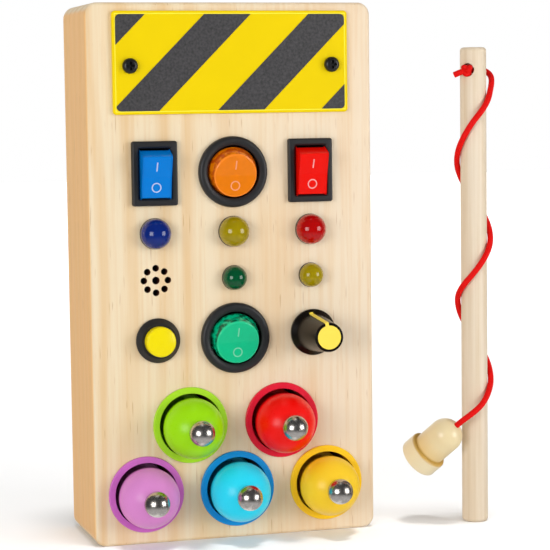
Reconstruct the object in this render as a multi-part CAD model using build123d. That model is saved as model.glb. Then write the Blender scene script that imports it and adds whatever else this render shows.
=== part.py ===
from build123d import *
import os
from math import cos, pi, radians, sin, tan

# Wooden busy board: a pine block with switches, lamps, a buzzer, a knob and five fishing pegs, and a
# fishing wand that stands beside it. Millimetres, +Z up, +X to the right seen from the front, which
# faces -Y. The origin is the centre of the block's bottom face.

# ---------------------------------------------------------------- driving dimensions
# Board
BOARD_W = 96.0
BOARD_H = 176.0
BOARD_T = 37.0
BOARD_CORNER_R = 4.0
BOARD_EDGE_R = 1.3
FRONT_WALL = 4.0            # wood left in front of the cavity
CAVITY_SIDE_ROOM = 4.1      # in the cavity beside the outer switches' bodies
CAVITY_LOWER_ROOM = 11.6    # below the middle of the lowest row
BOX_ROOM = 1.3              # beside the battery box
BOX_LOWER_ROOM = 17.0       # from the middle of the battery box to its cavity's ends
BOX_UPPER_ROOM = 16.6
FIT = 0.1                   # clearance each side where one piece sits in another
PAST = 1.0                  # how far a cut runs past the face that it opens
RUNNING_FIT = 0.05          # radial clearance of a pin or shaft that turns or slides

# Back cover
COVER_RIM = 7.0             # reach past the cavity at its sides and bottom
COVER_TOP_RIM = 3.4
COVER_T = 3.0
COVER_CORNER_R = 3.0
COVER_SCREW_RISE = 3.6      # of the lowest screws above the cover's bottom
COVER_SCREW_STEP = 56.4     # from there to the middle ones
COVER_SCREW_DROP = 7.0      # of the highest below its top
COVER_SCREW_D = 2.5
COVER_SCREW_HEAD_D = 5.0
COVER_SCREW_L = 14.0

# Layout of the front, heights above the base
COLUMN = 26.3               # spacing of the three columns
LOW_ROW = 66.6              # green switch
SMALL_LAMP_STEP = 19.8      # from there up to the buzzer and small lamps
LAMP_STEP = 15.2            # on to the large lamps
TOP_STEP = 19.5             # on to the three rocker switches
PLATE_STEP = 19.0           # on to the warning plate's bottom edge
BUTTON_X = -26.0
BUTTON_RISE = 0.2           # above the green switch's height
KNOB_X = 26.6
KNOB_RISE = 0.8
UPPER_PEG_ROW = 38.5
LOWER_PEG_ROW = 16.5
UPPER_PEG_X = 15.6
LOWER_PEG_X = 30.8

# Warning plate
PLATE_W = 79.1
PLATE_H = 33.2
PLATE_T = 1.2
PLATE_CORNER_R = 1.2
PLATE_EDGE_R = 0.3
STICKER_T = 0.15
STICKER_INSET = 1.1         # yellow rim round the striped field
STICKER_CORNER_R = 1.5
STRIPE_PERIOD = 35.25       # along the bottom edge
STRIPE_W = 15.6
STRIPE_START = -4.8         # left end of a stripe on the bottom edge of the field
PLATE_SCREW_X = 33.9
PLATE_SCREW_DROP = 1.0      # below the plate's middle
PLATE_SCREW_D = 2.8
PLATE_SCREW_HEAD_D = 5.0
PLATE_SCREW_HEAD_H = 1.9
PLATE_SCREW_DOME_R = 1.25
PLATE_SCREW_L = 10.0
CROSS_W = 0.8
CROSS_SPAN = 2.8
CROSS_DEPTH = 1.1

# Rocker switches
BEZEL_T = 2.0
BEZEL_EDGE_R = 0.6
RECT_BEZEL_W = 15.0
RECT_BEZEL_H = 20.9
RECT_BEZEL_CORNER_R = 0.8
RECT_BODY_W = 13.2
RECT_BODY_H = 19.2
RECT_OPENING_W = 10.6
RECT_OPENING_H = 16.4
RECT_ROCKER_W = 9.8
ROUND_BEZEL_D = 23.2
ROUND_BEZEL_EDGE_R = 1.2
ROUND_BODY_D = 19.9
ROUND_OPENING_D = 17.4
ROUND_ROCKER_BASE_D = 16.7
ROUND_ROCKER_FACE_D = 14.3
SWITCH_BODY_DEPTH = 12.0    # behind the board's face
SWITCH_POCKET_DEPTH = 7.5
ROCKER_TRAVEL = 26.0        # degrees from the O end pressed to the I end pressed
ROCKER_PIVOT_DEPTH = 1.0    # behind the board's face
ROCKER_CREST = 5.45         # face above the pivot at the ends
ROCKER_HOLLOW = 0.45        # how much lower the middle of the face is
ROCKER_CREST_Z = 6.85
ROCKER_BASE_Z = 7.8
ROCKER_BASE_RISE = 0.4
ROCKER_CREST_R = 0.5
ROCKER_KEEL = 2.2           # underside below the pivot
ROCKER_KEEL_HALF = 3.0
TRUNNION_R = 1.0
TRUNNION_L = 1.0
BLADE_W = 4.8
BLADE_T = 0.8
BLADE_L = 7.0
BLADE_SPREAD = 4.0          # blades above and below the switch's middle

# Lamps
LAMP_R = 5.0
LAMP_CENTRE_OUT = 1.2       # centre of the dome in front of the face
SMALL_LAMP_R = 4.0
SMALL_LAMP_CENTRE_OUT = 1.0
LAMP_FLANGE = 0.6
LAMP_FLANGE_T = 1.4
LEAD_T = 0.5
LEAD_SPREAD = 1.27

# Buzzer
SOUND_HOLE_R = 1.1
SOUND_CENTRE_R = 1.25
SOUND_CIRCLE_R = 4.0
SOUND_HOLES = 8
BUZZER_D = 18.0
BUZZER_T = 4.5
BUZZER_RIM = 1.2
BUZZER_DISH = 1.2
BUZZER_DISH_D = 9.0
BUZZER_MAGNET_D = 9.0
BUZZER_MAGNET_T = 2.0

# Push button
BUTTON_BEZEL_D = 14.6
BUTTON_BEZEL_T = 2.4
BUTTON_BEZEL_RIM = 0.8      # straight part of the bezel's edge
BUTTON_BEZEL_TOP_D = 11.6
BUTTON_BODY_D = 11.9
BUTTON_BODY_DEPTH = 14.0
BUTTON_CAP_D = 9.8
BUTTON_CAP_EDGE_R = 0.8
BUTTON_DOME_H = 0.7
BUTTON_CAP_LENGTH = 8.0
BUTTON_TRAVEL = 3.0         # until the cap's edge is all but level with the bezel
BUTTON_FLOOR = 2.0
BUTTON_NUT_AF = 14.0
BUTTON_NUT_T = 2.5
BUTTON_PIN_D = 1.4
BUTTON_PIN_L = 3.0
BUTTON_PIN_SPREAD = 2.5
SPRING_R = 3.0
SPRING_WIRE_R = 0.3
SPRING_TURNS = 5

# Knob and potentiometer
KNOB_GAP = 0.8
KNOB_SKIRT_D = 15.3
KNOB_SKIRT_T = 1.0
KNOB_BODY_D = 12.4
KNOB_FLARE_H = 2.4
KNOB_TOP_D = 9.5
KNOB_EDGE_R = 0.4
KNOB_H = 17.9
KNOB_TURN = 10.0            # degrees by which its pointer stands left of straight up
KNOB_DISC_D = 7.8
KNOB_DISC_T = 0.4
KNOB_CLEARANCE = 0.3        # between the knob's underside and the nut and bush below it
POINTER_W = 1.2
POINTER_PROUD = 0.2
POINTER_REACH = 0.3         # share of the flare that the pointer runs down
POT_D = 16.0
POT_T = 8.0
POT_BUSH_D = 7.0
POT_BUSH_OUT = 2.8
POT_NUT_AF = 10.0
POT_NUT_T = 2.0
SHAFT_D = 6.0
SHAFT_OUT = 13.0
SHAFT_FOOT = 3.9            # of the shaft behind the wall's back
POT_PIN_D = 1.2
POT_PIN_L = 4.0
POT_PIN_SPREAD = 5.0
POT_PIN_DROP = 5.0

# Peg holes, rings and pegs
PEG_HOLE_D = 21.0
PEG_HOLE_DEPTH = 17.0
RING_OUTER_D = 25.0
RING_PROUD = 1.0
RING_EDGE_R = 0.33
RING_SLEEVE_D = 23.0
RING_DEPTH = 4.0
PEG_D = 19.8
PEG_DEPTH = 16.4            # of the peg's foot behind the face
PEG_STEM_D = 15.0           # between the round head and the foot that guides the peg
PEG_FOOT_L = 4.0
PEG_FOOT_R = 0.8
PEG_HEAD_OUT = 4.5          # centre of the round head in front of the face
PEG_BALL_R = 4.2
PEG_BALL_OUT = 15.5
PEG_REST_DROP = 0.5         # each peg lies on the lower wall of its hole

# Circuit board
PCB_T = 1.6
PCB_GAP = 2.5               # between the lamps' flanges and the board
PCB_ROOM = 1.0              # beside the board in the cavity
PCB_TOP_RISE = 7.4          # above the large lamps' row
PCB_STEP_DROP = 5.2         # below it
PCB_BOTTOM_DROP = 7.8       # below the small lamps' row
PCB_STEP_X = -14.5
CHIP_W = 12.0
CHIP_H = 7.0
CHIP_T = 3.0
CHIP_X = 12.0
CHIP_LEG_ROWS = 7

# Batteries
CELL_D = 14.3
CELL_L = 49.2
CELL_NUB_D = 5.2
CELL_NUB_L = 1.3
CELL_GAP = 0.3
BOX_WALL = 1.2
BOX_DEPTH = 15.0
CONTACT_ROOM = 4.5          # at the cells' ends, for the contacts and their springs
BOX_DROP = 4.7              # middle of the battery box below the plate's
CONTACT_T = 0.5
CONTACT_H = 9.0
DOOR_W = 75.0
DOOR_H = 31.0
DOOR_T = 1.8
DOOR_CORNER_R = 1.5
DOOR_SCREW_X = 33.8
DOOR_SCREW_D = 2.5
DOOR_SCREW_HEAD_D = 4.6
DOOR_SCREW_HEAD_H = 1.0
DOOR_SCREW_L = 9.0

# Wiring
WIRE_R = 0.5
WIRE_BEND_R = 1.6
NEAR_LANE = -22.0           # depths behind the face at which the wires cross
FAR_LANE = -25.0
BUZZER_LANE = -14.0
BUZZER_FAR_LANE = -17.0
POT_LANE = -18.0
UPPER_PADS_RISE = 2.4       # rows of pads on the circuit board, from the lamps' rows
LOWER_PADS_DROP = 5.4
PAD_SPREAD = 3.0
BATTERY_PAD_X = 18.0
BATTERY_PADS_RISE = 4.9
BATTERY_LEAD_OUT = -27.0

# Wand
WAND_X = 84.0
WAND_Y = -20.0
ROD_R = 4.4
ROD_L = 161.0
ROD_EDGE_R = 1.2
ROD_HOLE_R = 2.3
ROD_HOLE_HEIGHT = 153.4
ROD_HOLE_BEARING = 49.0     # of the knot's mouth, degrees from -Y towards -X
KNOT_R = 2.2
KNOT_OUT = 0.2              # centre of the knot outside the rod's surface
TAIL_L = 3.3
TAIL_TURN = 28.0            # degrees round the rod from the knot
TAIL_DROP = 1.6
CORD_R = 1.0
CORD_GAP = 0.15             # between the cord and the rod
TURN_POINTS = 12            # route points to a turn
# Bearings and heights where the wound cord passes the rod's sides, from the top down
CORD_STATIONS = (
    (-67.8, 146.6),
    (22.2, 136.3),
    (112.2, 122.9),
    (292.2, 96.7),
    (382.2, 85.4),
    (472.2, 75.8),
    (652.2, 48.5),
)
CORD_EXIT_RUN = 1.72         # how far the cord runs straight out of the hole's far mouth
# Points from there to the winding, and from the winding to the bell: distance, bearing, height
CORD_START = (
    (7.4, -121.0, 153.0),
    (7.6, -106.0, 151.6),
    (6.7, -88.0, 149.5),
)
CORD_END = (
    (5.7, -67.8, 48.5),
    (5.7, -37.0, 44.9),
    (6.6, -5.0, 41.3),
    (8.6, 24.0, 38.5),
)
BELL_R = 5.8
BELL_RIM_R = 7.1
BELL_L = 20.0
BELL_RIM_L = 6.0
BELL_EDGE_R = 0.8
BELL_CORD_BORE = 2.5
BELL_LEAD = 2.4             # straight cord before it enters the bell
BELL_TIP = (75.2, -25.6, 34.1)
BELL_AXIS = (-0.488, 0.589, -0.644)
MAGNET_D = 9.9
MAGNET_T = 3.0
MAGNET_SUNK = 0.2

# ---------------------------------------------------------------- places worked out from them
SMALL_LAMP_ROW = LOW_ROW + SMALL_LAMP_STEP
LAMP_ROW = SMALL_LAMP_ROW + LAMP_STEP
TOP_ROW = LAMP_ROW + TOP_STEP
PLATE_BOTTOM = TOP_ROW + PLATE_STEP
BUTTON_HEIGHT = LOW_ROW + BUTTON_RISE
KNOB_HEIGHT = LOW_ROW + KNOB_RISE
FRONT_Y = -BOARD_T / 2
BEHIND_WALL = -FRONT_WALL
LAMP_FLANGE_BACK = BEHIND_WALL - LAMP_FLANGE_T
PCB_FRONT = LAMP_FLANGE_BACK - PCB_GAP
PCB_BACK = PCB_FRONT - PCB_T
PLATE_Z = PLATE_BOTTOM + PLATE_H / 2
BOX_Z = PLATE_Z - BOX_DROP
BOX_INSIDE_W = CELL_L + CELL_NUB_L + CONTACT_ROOM
COMPONENT_CAVITY_W = 2 * COLUMN + RECT_BODY_W + 2 * CAVITY_SIDE_ROOM
COMPONENT_CAVITY_BOTTOM = LOW_ROW - CAVITY_LOWER_ROOM
BATTERY_CAVITY_W = BOX_INSIDE_W + 2 * BOX_WALL + 2 * BOX_ROOM
BATTERY_CAVITY_BOTTOM = BOX_Z - BOX_LOWER_ROOM
CAVITY_TOP = BOX_Z + BOX_UPPER_ROOM
COVER_W = COMPONENT_CAVITY_W + 2 * COVER_RIM
COVER_BOTTOM = COMPONENT_CAVITY_BOTTOM - COVER_RIM
COVER_TOP = CAVITY_TOP + COVER_TOP_RIM
COVER_SCREW_X = (COMPONENT_CAVITY_W + COVER_RIM) / 2
LOW_COVER_SCREW = COVER_BOTTOM + COVER_SCREW_RISE
COVER_SCREW_HEIGHTS = (
    LOW_COVER_SCREW,
    LOW_COVER_SCREW + COVER_SCREW_STEP,
    COVER_TOP - COVER_SCREW_DROP,
)
PCB_HALF_W = COMPONENT_CAVITY_W / 2 - PCB_ROOM
PCB_TOP = LAMP_ROW + PCB_TOP_RISE
PCB_STEP = LAMP_ROW - PCB_STEP_DROP
PCB_BOTTOM = SMALL_LAMP_ROW - PCB_BOTTOM_DROP
UPPER_PADS = LAMP_ROW + UPPER_PADS_RISE
LOWER_PADS = SMALL_LAMP_ROW - LOWER_PADS_DROP
BATTERY_PADS = LAMP_ROW + BATTERY_PADS_RISE
PLATE_SCREW_Z = PLATE_Z - PLATE_SCREW_DROP
STICKER_OUT = PLATE_T + STICKER_T
BUTTON_CAP_OUT = BUTTON_BEZEL_T + BUTTON_TRAVEL + FIT
BUTTON_CAP_FOOT = BUTTON_CAP_OUT - BUTTON_CAP_LENGTH
BUTTON_HOUSING_FLOOR = BUTTON_FLOOR - BUTTON_BODY_DEPTH
KNOB_TOP = KNOB_GAP + KNOB_H
CELLS_H = 2 * CELL_D + 3 * CELL_GAP
BOX_BACK = COVER_T - BOARD_T
BOX_FRONT = BOX_BACK + BOX_DEPTH
CELL_OUT = BOX_FRONT - BOX_WALL - CELL_GAP - CELL_D / 2
WAND = Pos(WAND_X, WAND_Y, 0)

RECT_SWITCHES = {"blue": (-COLUMN, TOP_ROW), "red": (COLUMN, TOP_ROW)}
ROUND_SWITCHES = {"amber": (0.0, TOP_ROW), "green": (0.0, LOW_ROW)}
LAMPS = {
    "led_blue": (-COLUMN, LAMP_ROW, LAMP_R, LAMP_CENTRE_OUT),
    "led_yellow": (0.0, LAMP_ROW, LAMP_R, LAMP_CENTRE_OUT),
    "led_red": (COLUMN, LAMP_ROW, LAMP_R, LAMP_CENTRE_OUT),
    "led_small_green": (0.0, SMALL_LAMP_ROW, SMALL_LAMP_R, SMALL_LAMP_CENTRE_OUT),
    "led_small_yellow": (COLUMN, SMALL_LAMP_ROW, SMALL_LAMP_R, SMALL_LAMP_CENTRE_OUT),
}
BUZZER = (-COLUMN, SMALL_LAMP_ROW)
BUTTON = (BUTTON_X, BUTTON_HEIGHT)
KNOB = (KNOB_X, KNOB_HEIGHT)
PEGS = {
    "green": (-UPPER_PEG_X, UPPER_PEG_ROW),
    "red": (UPPER_PEG_X, UPPER_PEG_ROW),
    "purple": (-LOWER_PEG_X, LOWER_PEG_ROW),
    "blue": (0.0, LOWER_PEG_ROW),
    "yellow": (LOWER_PEG_X, LOWER_PEG_ROW),
}


# ---------------------------------------------------------------- helpers
def at_face(x, z):
    """A place on the front face: local X to the right, local Y up, local Z straight out."""
    return Plane(origin=(x, FRONT_Y, z), x_dir=(1, 0, 0), z_dir=(0, -1, 0)).location


def rod(radius, low, high):
    """A cylinder on the local Z axis from low to high."""
    return Pos(0, 0, low) * Cylinder(radius, high - low, align=(Align.CENTER, Align.CENTER, Align.MIN))


def cone(low_radius, high_radius, low, high):
    return Pos(0, 0, low) * Cone(
        low_radius, high_radius, high - low, align=(Align.CENTER, Align.CENTER, Align.MIN)
    )


def block(width, height, low, high, corner=0.0):
    """A block of width along local X and height along local Y, from low to high."""
    outline = RectangleRounded(width, height, corner) if corner else Rectangle(width, height)
    return Pos(0, 0, low) * extrude(outline, amount=high - low)


def upper_edges(solid):
    """The edges of the face that is furthest out."""
    return solid.faces().sort_by(Axis.Z)[-1].outer_wire().edges()


def hexagon(across_flats, low, high):
    outline = RegularPolygon(across_flats / 2, 6, major_radius=False)
    return Pos(0, 0, low) * extrude(outline, amount=high - low)


def turned(points):
    """A solid of revolution about local Z from an outline of (radius, height) points."""
    outline = make_face(Polyline(*[(r, 0, h) for r, h in points], close=True))
    return revolve(outline, Axis.Z)


def keep(name, *solids):
    """Writes one node, of one or more solids, to its STEP file."""
    shape = solids[0] if len(solids) == 1 else Compound(children=list(solids))
    shape.label = name
    export_step(shape, f"parts/{name}.step")


# ---------------------------------------------------------------- board and covers
def board_shell():
    outline = block(BOARD_W, BOARD_H, -BOARD_T, 0, BOARD_CORNER_R)
    rims = outline.faces().filter_by(Axis.Z)
    rounded = fillet(rims.edges(), BOARD_EDGE_R)
    return at_face(0, BOARD_H / 2) * rounded


def from_back(width, bottom, top, depth, corner):
    """A block cut in from the back, from the back face to the depth."""
    sunk = block(width, top - bottom, -BOARD_T - PAST, depth, corner)
    return at_face(0, (bottom + top) / 2) * sunk


def cover_screw_places():
    return [(side * COVER_SCREW_X, z) for side in (-1, 1) for z in COVER_SCREW_HEIGHTS]


def door_screw_places():
    return [(side * DOOR_SCREW_X, BOX_Z) for side in (-1, 1)]


def plate_screw_places():
    return [(side * PLATE_SCREW_X, PLATE_SCREW_Z) for side in (-1, 1)]


def through_wall(radius):
    """A hole from the front face through the cavity's front wall."""
    return rod(radius, BEHIND_WALL - PAST, PAST)


def sound_holes():
    holes = [through_wall(SOUND_CENTRE_R)]
    for place in PolarLocations(SOUND_CIRCLE_R, SOUND_HOLES):
        holes.append(place * through_wall(SOUND_HOLE_R))
    return Compound(holes)


def board_body():
    body = board_shell()
    cover_top = COVER_TOP + FIT
    cover_bottom = COVER_BOTTOM - FIT
    lower_top = BATTERY_CAVITY_BOTTOM + PAST
    cuts = [
        from_back(COMPONENT_CAVITY_W, COMPONENT_CAVITY_BOTTOM, lower_top, BEHIND_WALL, 0),
        from_back(BATTERY_CAVITY_W, BATTERY_CAVITY_BOTTOM, CAVITY_TOP, BEHIND_WALL, 0),
        from_back(COVER_W + 2 * FIT, cover_bottom, cover_top, COVER_T - BOARD_T, COVER_CORNER_R),
    ]
    rect_hole = block(RECT_BODY_W + 2 * FIT, RECT_BODY_H + 2 * FIT, BEHIND_WALL - PAST, PAST)
    for place in RECT_SWITCHES.values():
        cuts.append(at_face(*place) * rect_hole)
    for place in ROUND_SWITCHES.values():
        cuts.append(at_face(*place) * through_wall(ROUND_BODY_D / 2 + FIT))
    for x, z, radius, _ in LAMPS.values():
        cuts.append(at_face(x, z) * through_wall(radius + FIT))
    cuts.append(at_face(*BUTTON) * through_wall(BUTTON_BODY_D / 2 + FIT))
    cuts.append(at_face(*KNOB) * through_wall(POT_BUSH_D / 2 + FIT))
    cuts.append(at_face(*BUZZER) * sound_holes())
    for place in PEGS.values():
        cuts.append(at_face(*place) * rod(PEG_HOLE_D / 2, -PEG_HOLE_DEPTH, PAST))
        cuts.append(at_face(*place) * rod(RING_SLEEVE_D / 2 + FIT, -RING_DEPTH, PAST))
    for place in plate_screw_places():
        tip = STICKER_OUT - PLATE_SCREW_L - FIT
        cuts.append(at_face(*place) * rod(PLATE_SCREW_D / 2 + FIT, tip, PAST))
    for place in cover_screw_places():
        tip = COVER_SCREW_L + FIT - BOARD_T
        cuts.append(at_face(*place) * rod(COVER_SCREW_D / 2 + FIT, -BOARD_T, tip))
    for place in door_screw_places():
        tip = DOOR_SCREW_L + FIT - BOARD_T
        cuts.append(at_face(*place) * rod(DOOR_SCREW_D / 2 + FIT, -BOARD_T, tip))
    for cut in cuts:
        body = body - cut
    return body


def back_cover():
    height = COVER_TOP - COVER_BOTTOM
    outside = -BOARD_T - PAST
    inside = COVER_T - BOARD_T + PAST
    sheet = at_face(0, COVER_BOTTOM + height / 2) * block(
        COVER_W, height, -BOARD_T, COVER_T - BOARD_T, COVER_CORNER_R - FIT
    )
    sheet -= at_face(0, BOX_Z) * block(BOX_INSIDE_W, CELLS_H, outside, inside)
    sheet -= at_face(0, BOX_Z) * block(
        DOOR_W + 2 * FIT, DOOR_H + 2 * FIT, outside, DOOR_T - BOARD_T, DOOR_CORNER_R
    )
    for place in cover_screw_places():
        sheet -= at_face(*place) * rod(COVER_SCREW_D / 2 + FIT, outside, inside)
        sheet -= at_face(*place) * screw_sink(COVER_SCREW_HEAD_D, COVER_SCREW_D)
    for place in door_screw_places():
        sheet -= at_face(*place) * rod(DOOR_SCREW_D / 2 + FIT, outside, inside)
    return sheet


def screw_sink(head_d, shank_d):
    """The cone of a countersunk head whose flat lies flush with the back face."""
    depth = (head_d - shank_d) / 2
    return cone(head_d / 2 + FIT, shank_d / 2 + FIT, -BOARD_T, depth - BOARD_T)


def cross_slot(low, high):
    return block(CROSS_SPAN, CROSS_W, low, high) + block(CROSS_W, CROSS_SPAN, low, high)


def cover_screw():
    depth = (COVER_SCREW_HEAD_D - COVER_SCREW_D) / 2
    screw = cone(COVER_SCREW_HEAD_D / 2, COVER_SCREW_D / 2, -BOARD_T, depth - BOARD_T)
    screw += rod(COVER_SCREW_D / 2, depth - BOARD_T, COVER_SCREW_L - BOARD_T)
    return screw - cross_slot(-BOARD_T - PAST, CROSS_DEPTH - BOARD_T)


# ---------------------------------------------------------------- warning plate
def hazard_plate():
    plate = block(PLATE_W, PLATE_H, 0, PLATE_T, PLATE_CORNER_R)
    plate = fillet(upper_edges(plate), PLATE_EDGE_R)
    plate = at_face(0, PLATE_Z) * plate
    for place in plate_screw_places():
        plate -= at_face(*place) * rod(PLATE_SCREW_D / 2 + FIT, -PAST, PLATE_T + PAST)
    return plate


def hazard_stripes():
    """Diagonal black stripes at 45 degrees, cut off by the rounded field inside the plate's rim."""
    field_w = PLATE_W - 2 * STICKER_INSET
    field_h = PLATE_H - 2 * STICKER_INSET
    field = at_face(0, PLATE_Z) * block(field_w, field_h, PLATE_T, STICKER_OUT, STICKER_CORNER_R)
    for place in plate_screw_places():
        field -= at_face(*place) * rod(PLATE_SCREW_D / 2 + FIT, 0, STICKER_OUT + PAST)
    low = PLATE_Z - field_h / 2
    stripes = []
    first = -int((field_w + field_h) / STRIPE_PERIOD)
    for step in range(first, -first + 1):
        left = STRIPE_START + step * STRIPE_PERIOD
        corners = [
            (left, 0),
            (left + STRIPE_W, 0),
            (left + STRIPE_W + field_h, field_h),
            (left + field_h, field_h),
        ]
        band = extrude(make_face(Polyline(*corners, close=True)), amount=STICKER_OUT + PAST)
        stripes += (field & (at_face(0, low) * band)).solids()
    return stripes


def plate_screw():
    """A pan-head screw with a cross recess, its head on the plate's striped face."""
    head_top = STICKER_OUT + PLATE_SCREW_HEAD_H
    head = rod(PLATE_SCREW_HEAD_D / 2, STICKER_OUT, head_top)
    head = fillet(upper_edges(head), PLATE_SCREW_DOME_R)
    head -= cross_slot(head_top - CROSS_DEPTH, head_top + PAST)
    return head + rod(PLATE_SCREW_D / 2, STICKER_OUT - PLATE_SCREW_L, STICKER_OUT)


# ---------------------------------------------------------------- rocker switches
def pivot_cut(half_width):
    """A bore along local X for the rocker's trunnions, at the pivot."""
    bore = Rot(0, 90, 0) * Cylinder(TRUNNION_R + RUNNING_FIT, 2 * half_width)
    return Pos(0, 0, -ROCKER_PIVOT_DEPTH) * bore


def rect_housing():
    housing = block(RECT_BEZEL_W, RECT_BEZEL_H, 0, BEZEL_T, RECT_BEZEL_CORNER_R)
    housing = fillet(upper_edges(housing), BEZEL_EDGE_R)
    housing += block(RECT_BODY_W, RECT_BODY_H, -SWITCH_BODY_DEPTH, 0)
    housing -= block(RECT_OPENING_W, RECT_OPENING_H, -SWITCH_POCKET_DEPTH, BEZEL_T + PAST)
    return housing - pivot_cut(RECT_BODY_W / 2 + PAST)


def round_housing():
    housing = rod(ROUND_BEZEL_D / 2, 0, BEZEL_T)
    housing = fillet(upper_edges(housing), ROUND_BEZEL_EDGE_R)
    housing += rod(ROUND_BODY_D / 2, -SWITCH_BODY_DEPTH, 0)
    housing -= rod(ROUND_OPENING_D / 2, -SWITCH_POCKET_DEPTH, BEZEL_T + PAST)
    return housing - pivot_cut(ROUND_BODY_D / 2 + PAST)


def trunnions(half_width):
    return Rot(0, 90, 0) * Cylinder(TRUNNION_R, 2 * (half_width + TRUNNION_L))


def rocker_outline(base, crest):
    """The rocker's side view, about its pivot: local Y up the face, local Z out."""
    return [
        (-base, ROCKER_BASE_RISE),
        (-crest, ROCKER_CREST),
        (0, ROCKER_CREST - ROCKER_HOLLOW),
        (crest, ROCKER_CREST),
        (base, ROCKER_BASE_RISE),
        (ROCKER_KEEL_HALF, -ROCKER_KEEL),
        (-ROCKER_KEEL_HALF, -ROCKER_KEEL),
    ]


def at_rest(rocker):
    """Tips a level rocker so that its lower, O end is pressed, and puts it on its pivot."""
    return Pos(0, 0, -ROCKER_PIVOT_DEPTH) * Rot(ROCKER_TRAVEL / 2, 0, 0) * rocker


def rect_rocker():
    points = rocker_outline(ROCKER_BASE_Z, ROCKER_CREST_Z)
    side = make_face(Polyline(*[(0, y, z) for y, z in points], close=True))
    rocker = extrude(side, amount=RECT_ROCKER_W / 2, both=True, dir=(1, 0, 0))
    crests = rocker.edges().filter_by(Axis.X).sort_by(Axis.Z)[-2:]
    rocker = fillet(crests, ROCKER_CREST_R)
    return at_rest(rocker + trunnions(RECT_ROCKER_W / 2))


def round_rocker():
    base = ROUND_ROCKER_BASE_D / 2
    face = ROUND_ROCKER_FACE_D / 2
    rocker = turned(
        [
            (0, -ROCKER_KEEL),
            (ROCKER_KEEL_HALF, -ROCKER_KEEL),
            (base, ROCKER_BASE_RISE),
            (face, ROCKER_CREST),
            (0, ROCKER_CREST),
        ]
    )
    rocker = fillet(upper_edges(rocker), ROCKER_CREST_R)
    wide = 2 * base
    low = ROCKER_CREST - ROCKER_HOLLOW
    high = low + ROCKER_HOLLOW * wide / face
    hollow = make_face(Polyline((0, 0, low), (0, wide, high), (0, -wide, high), close=True))
    rocker -= extrude(hollow, amount=wide, both=True, dir=(1, 0, 0))
    return at_rest(rocker + trunnions(base))


def blade_pair():
    """The two terminal blades behind a switch."""
    pair = []
    for side in (-1, 1):
        blade = block(BLADE_W, BLADE_T, -SWITCH_BODY_DEPTH - BLADE_L, -SWITCH_BODY_DEPTH)
        pair.append(Pos(0, side * BLADE_SPREAD, 0) * blade)
    return pair


# ---------------------------------------------------------------- lamps, buzzer and circuit board
def lamp(radius, centre_out):
    bulb = rod(radius, BEHIND_WALL, centre_out) + Pos(0, 0, centre_out) * Sphere(radius)
    return bulb + rod(radius + LAMP_FLANGE, LAMP_FLANGE_BACK, BEHIND_WALL)


def lamp_leads():
    leads = []
    for side in (-1, 1):
        leads.append(Pos(side * LEAD_SPREAD, 0, 0) * block(LEAD_T, LEAD_T, PCB_FRONT, LAMP_FLANGE_BACK))
    return leads


def buzzer():
    back = BEHIND_WALL - BUZZER_T
    body = rod(BUZZER_D / 2, back, BEHIND_WALL)
    dish = cone(BUZZER_DISH_D / 2, BUZZER_D / 2 - BUZZER_RIM, BEHIND_WALL - BUZZER_DISH, BEHIND_WALL)
    body -= dish
    return body + rod(BUZZER_MAGNET_D / 2, back - BUZZER_MAGNET_T, back)


def circuit_board():
    corners = [
        (-PCB_HALF_W, PCB_STEP),
        (-PCB_HALF_W, PCB_TOP),
        (PCB_HALF_W, PCB_TOP),
        (PCB_HALF_W, PCB_BOTTOM),
        (PCB_STEP_X, PCB_BOTTOM),
        (PCB_STEP_X, PCB_STEP),
    ]
    sheet = extrude(make_face(Polyline(*corners, close=True)), amount=PCB_T)
    return at_face(0, 0) * Pos(0, 0, PCB_BACK) * sheet


def control_chip():
    chip = block(CHIP_W, CHIP_H, PCB_BACK - CHIP_T, PCB_BACK - LEAD_T)
    pitch = CHIP_W / CHIP_LEG_ROWS
    for side in (-1, 1):
        for step in range(CHIP_LEG_ROWS):
            along = (step - (CHIP_LEG_ROWS - 1) / 2) * pitch
            leg = block(LEAD_T, LEAD_T, PCB_BACK - CHIP_T / 2, PCB_BACK)
            leg += Pos(0, -side * LEAD_T / 2, 0) * block(
                LEAD_T, 2 * LEAD_T, PCB_BACK - CHIP_T / 2 - LEAD_T, PCB_BACK - CHIP_T / 2
            )
            chip += Pos(along, side * (CHIP_H + LEAD_T) / 2, 0) * leg
    return at_face(CHIP_X, (PCB_STEP + PCB_BOTTOM) / 2) * chip


# ---------------------------------------------------------------- push button
def button_housing():
    bezel = cone(BUTTON_BEZEL_D / 2, BUTTON_BEZEL_TOP_D / 2, BUTTON_BEZEL_RIM, BUTTON_BEZEL_T)
    bezel += rod(BUTTON_BEZEL_D / 2, 0, BUTTON_BEZEL_RIM)
    housing = bezel + rod(BUTTON_BODY_D / 2, -BUTTON_BODY_DEPTH, 0)
    return housing - rod(BUTTON_CAP_D / 2 + RUNNING_FIT, BUTTON_HOUSING_FLOOR, BUTTON_BEZEL_T + PAST)


def button_cap():
    """A plunger with a shallow domed face and a rounded edge."""
    radius = BUTTON_CAP_D / 2
    dome_r = (radius**2 + BUTTON_DOME_H**2) / (2 * BUTTON_DOME_H)
    cap = rod(radius, BUTTON_CAP_FOOT, BUTTON_CAP_OUT + BUTTON_DOME_H)
    cap &= Pos(0, 0, BUTTON_CAP_OUT + BUTTON_DOME_H - dome_r) * Sphere(dome_r)
    rim = cap.edges().filter_by(lambda edge: edge.is_closed).sort_by(Axis.Z)[-1]
    return fillet([rim], BUTTON_CAP_EDGE_R)


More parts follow.
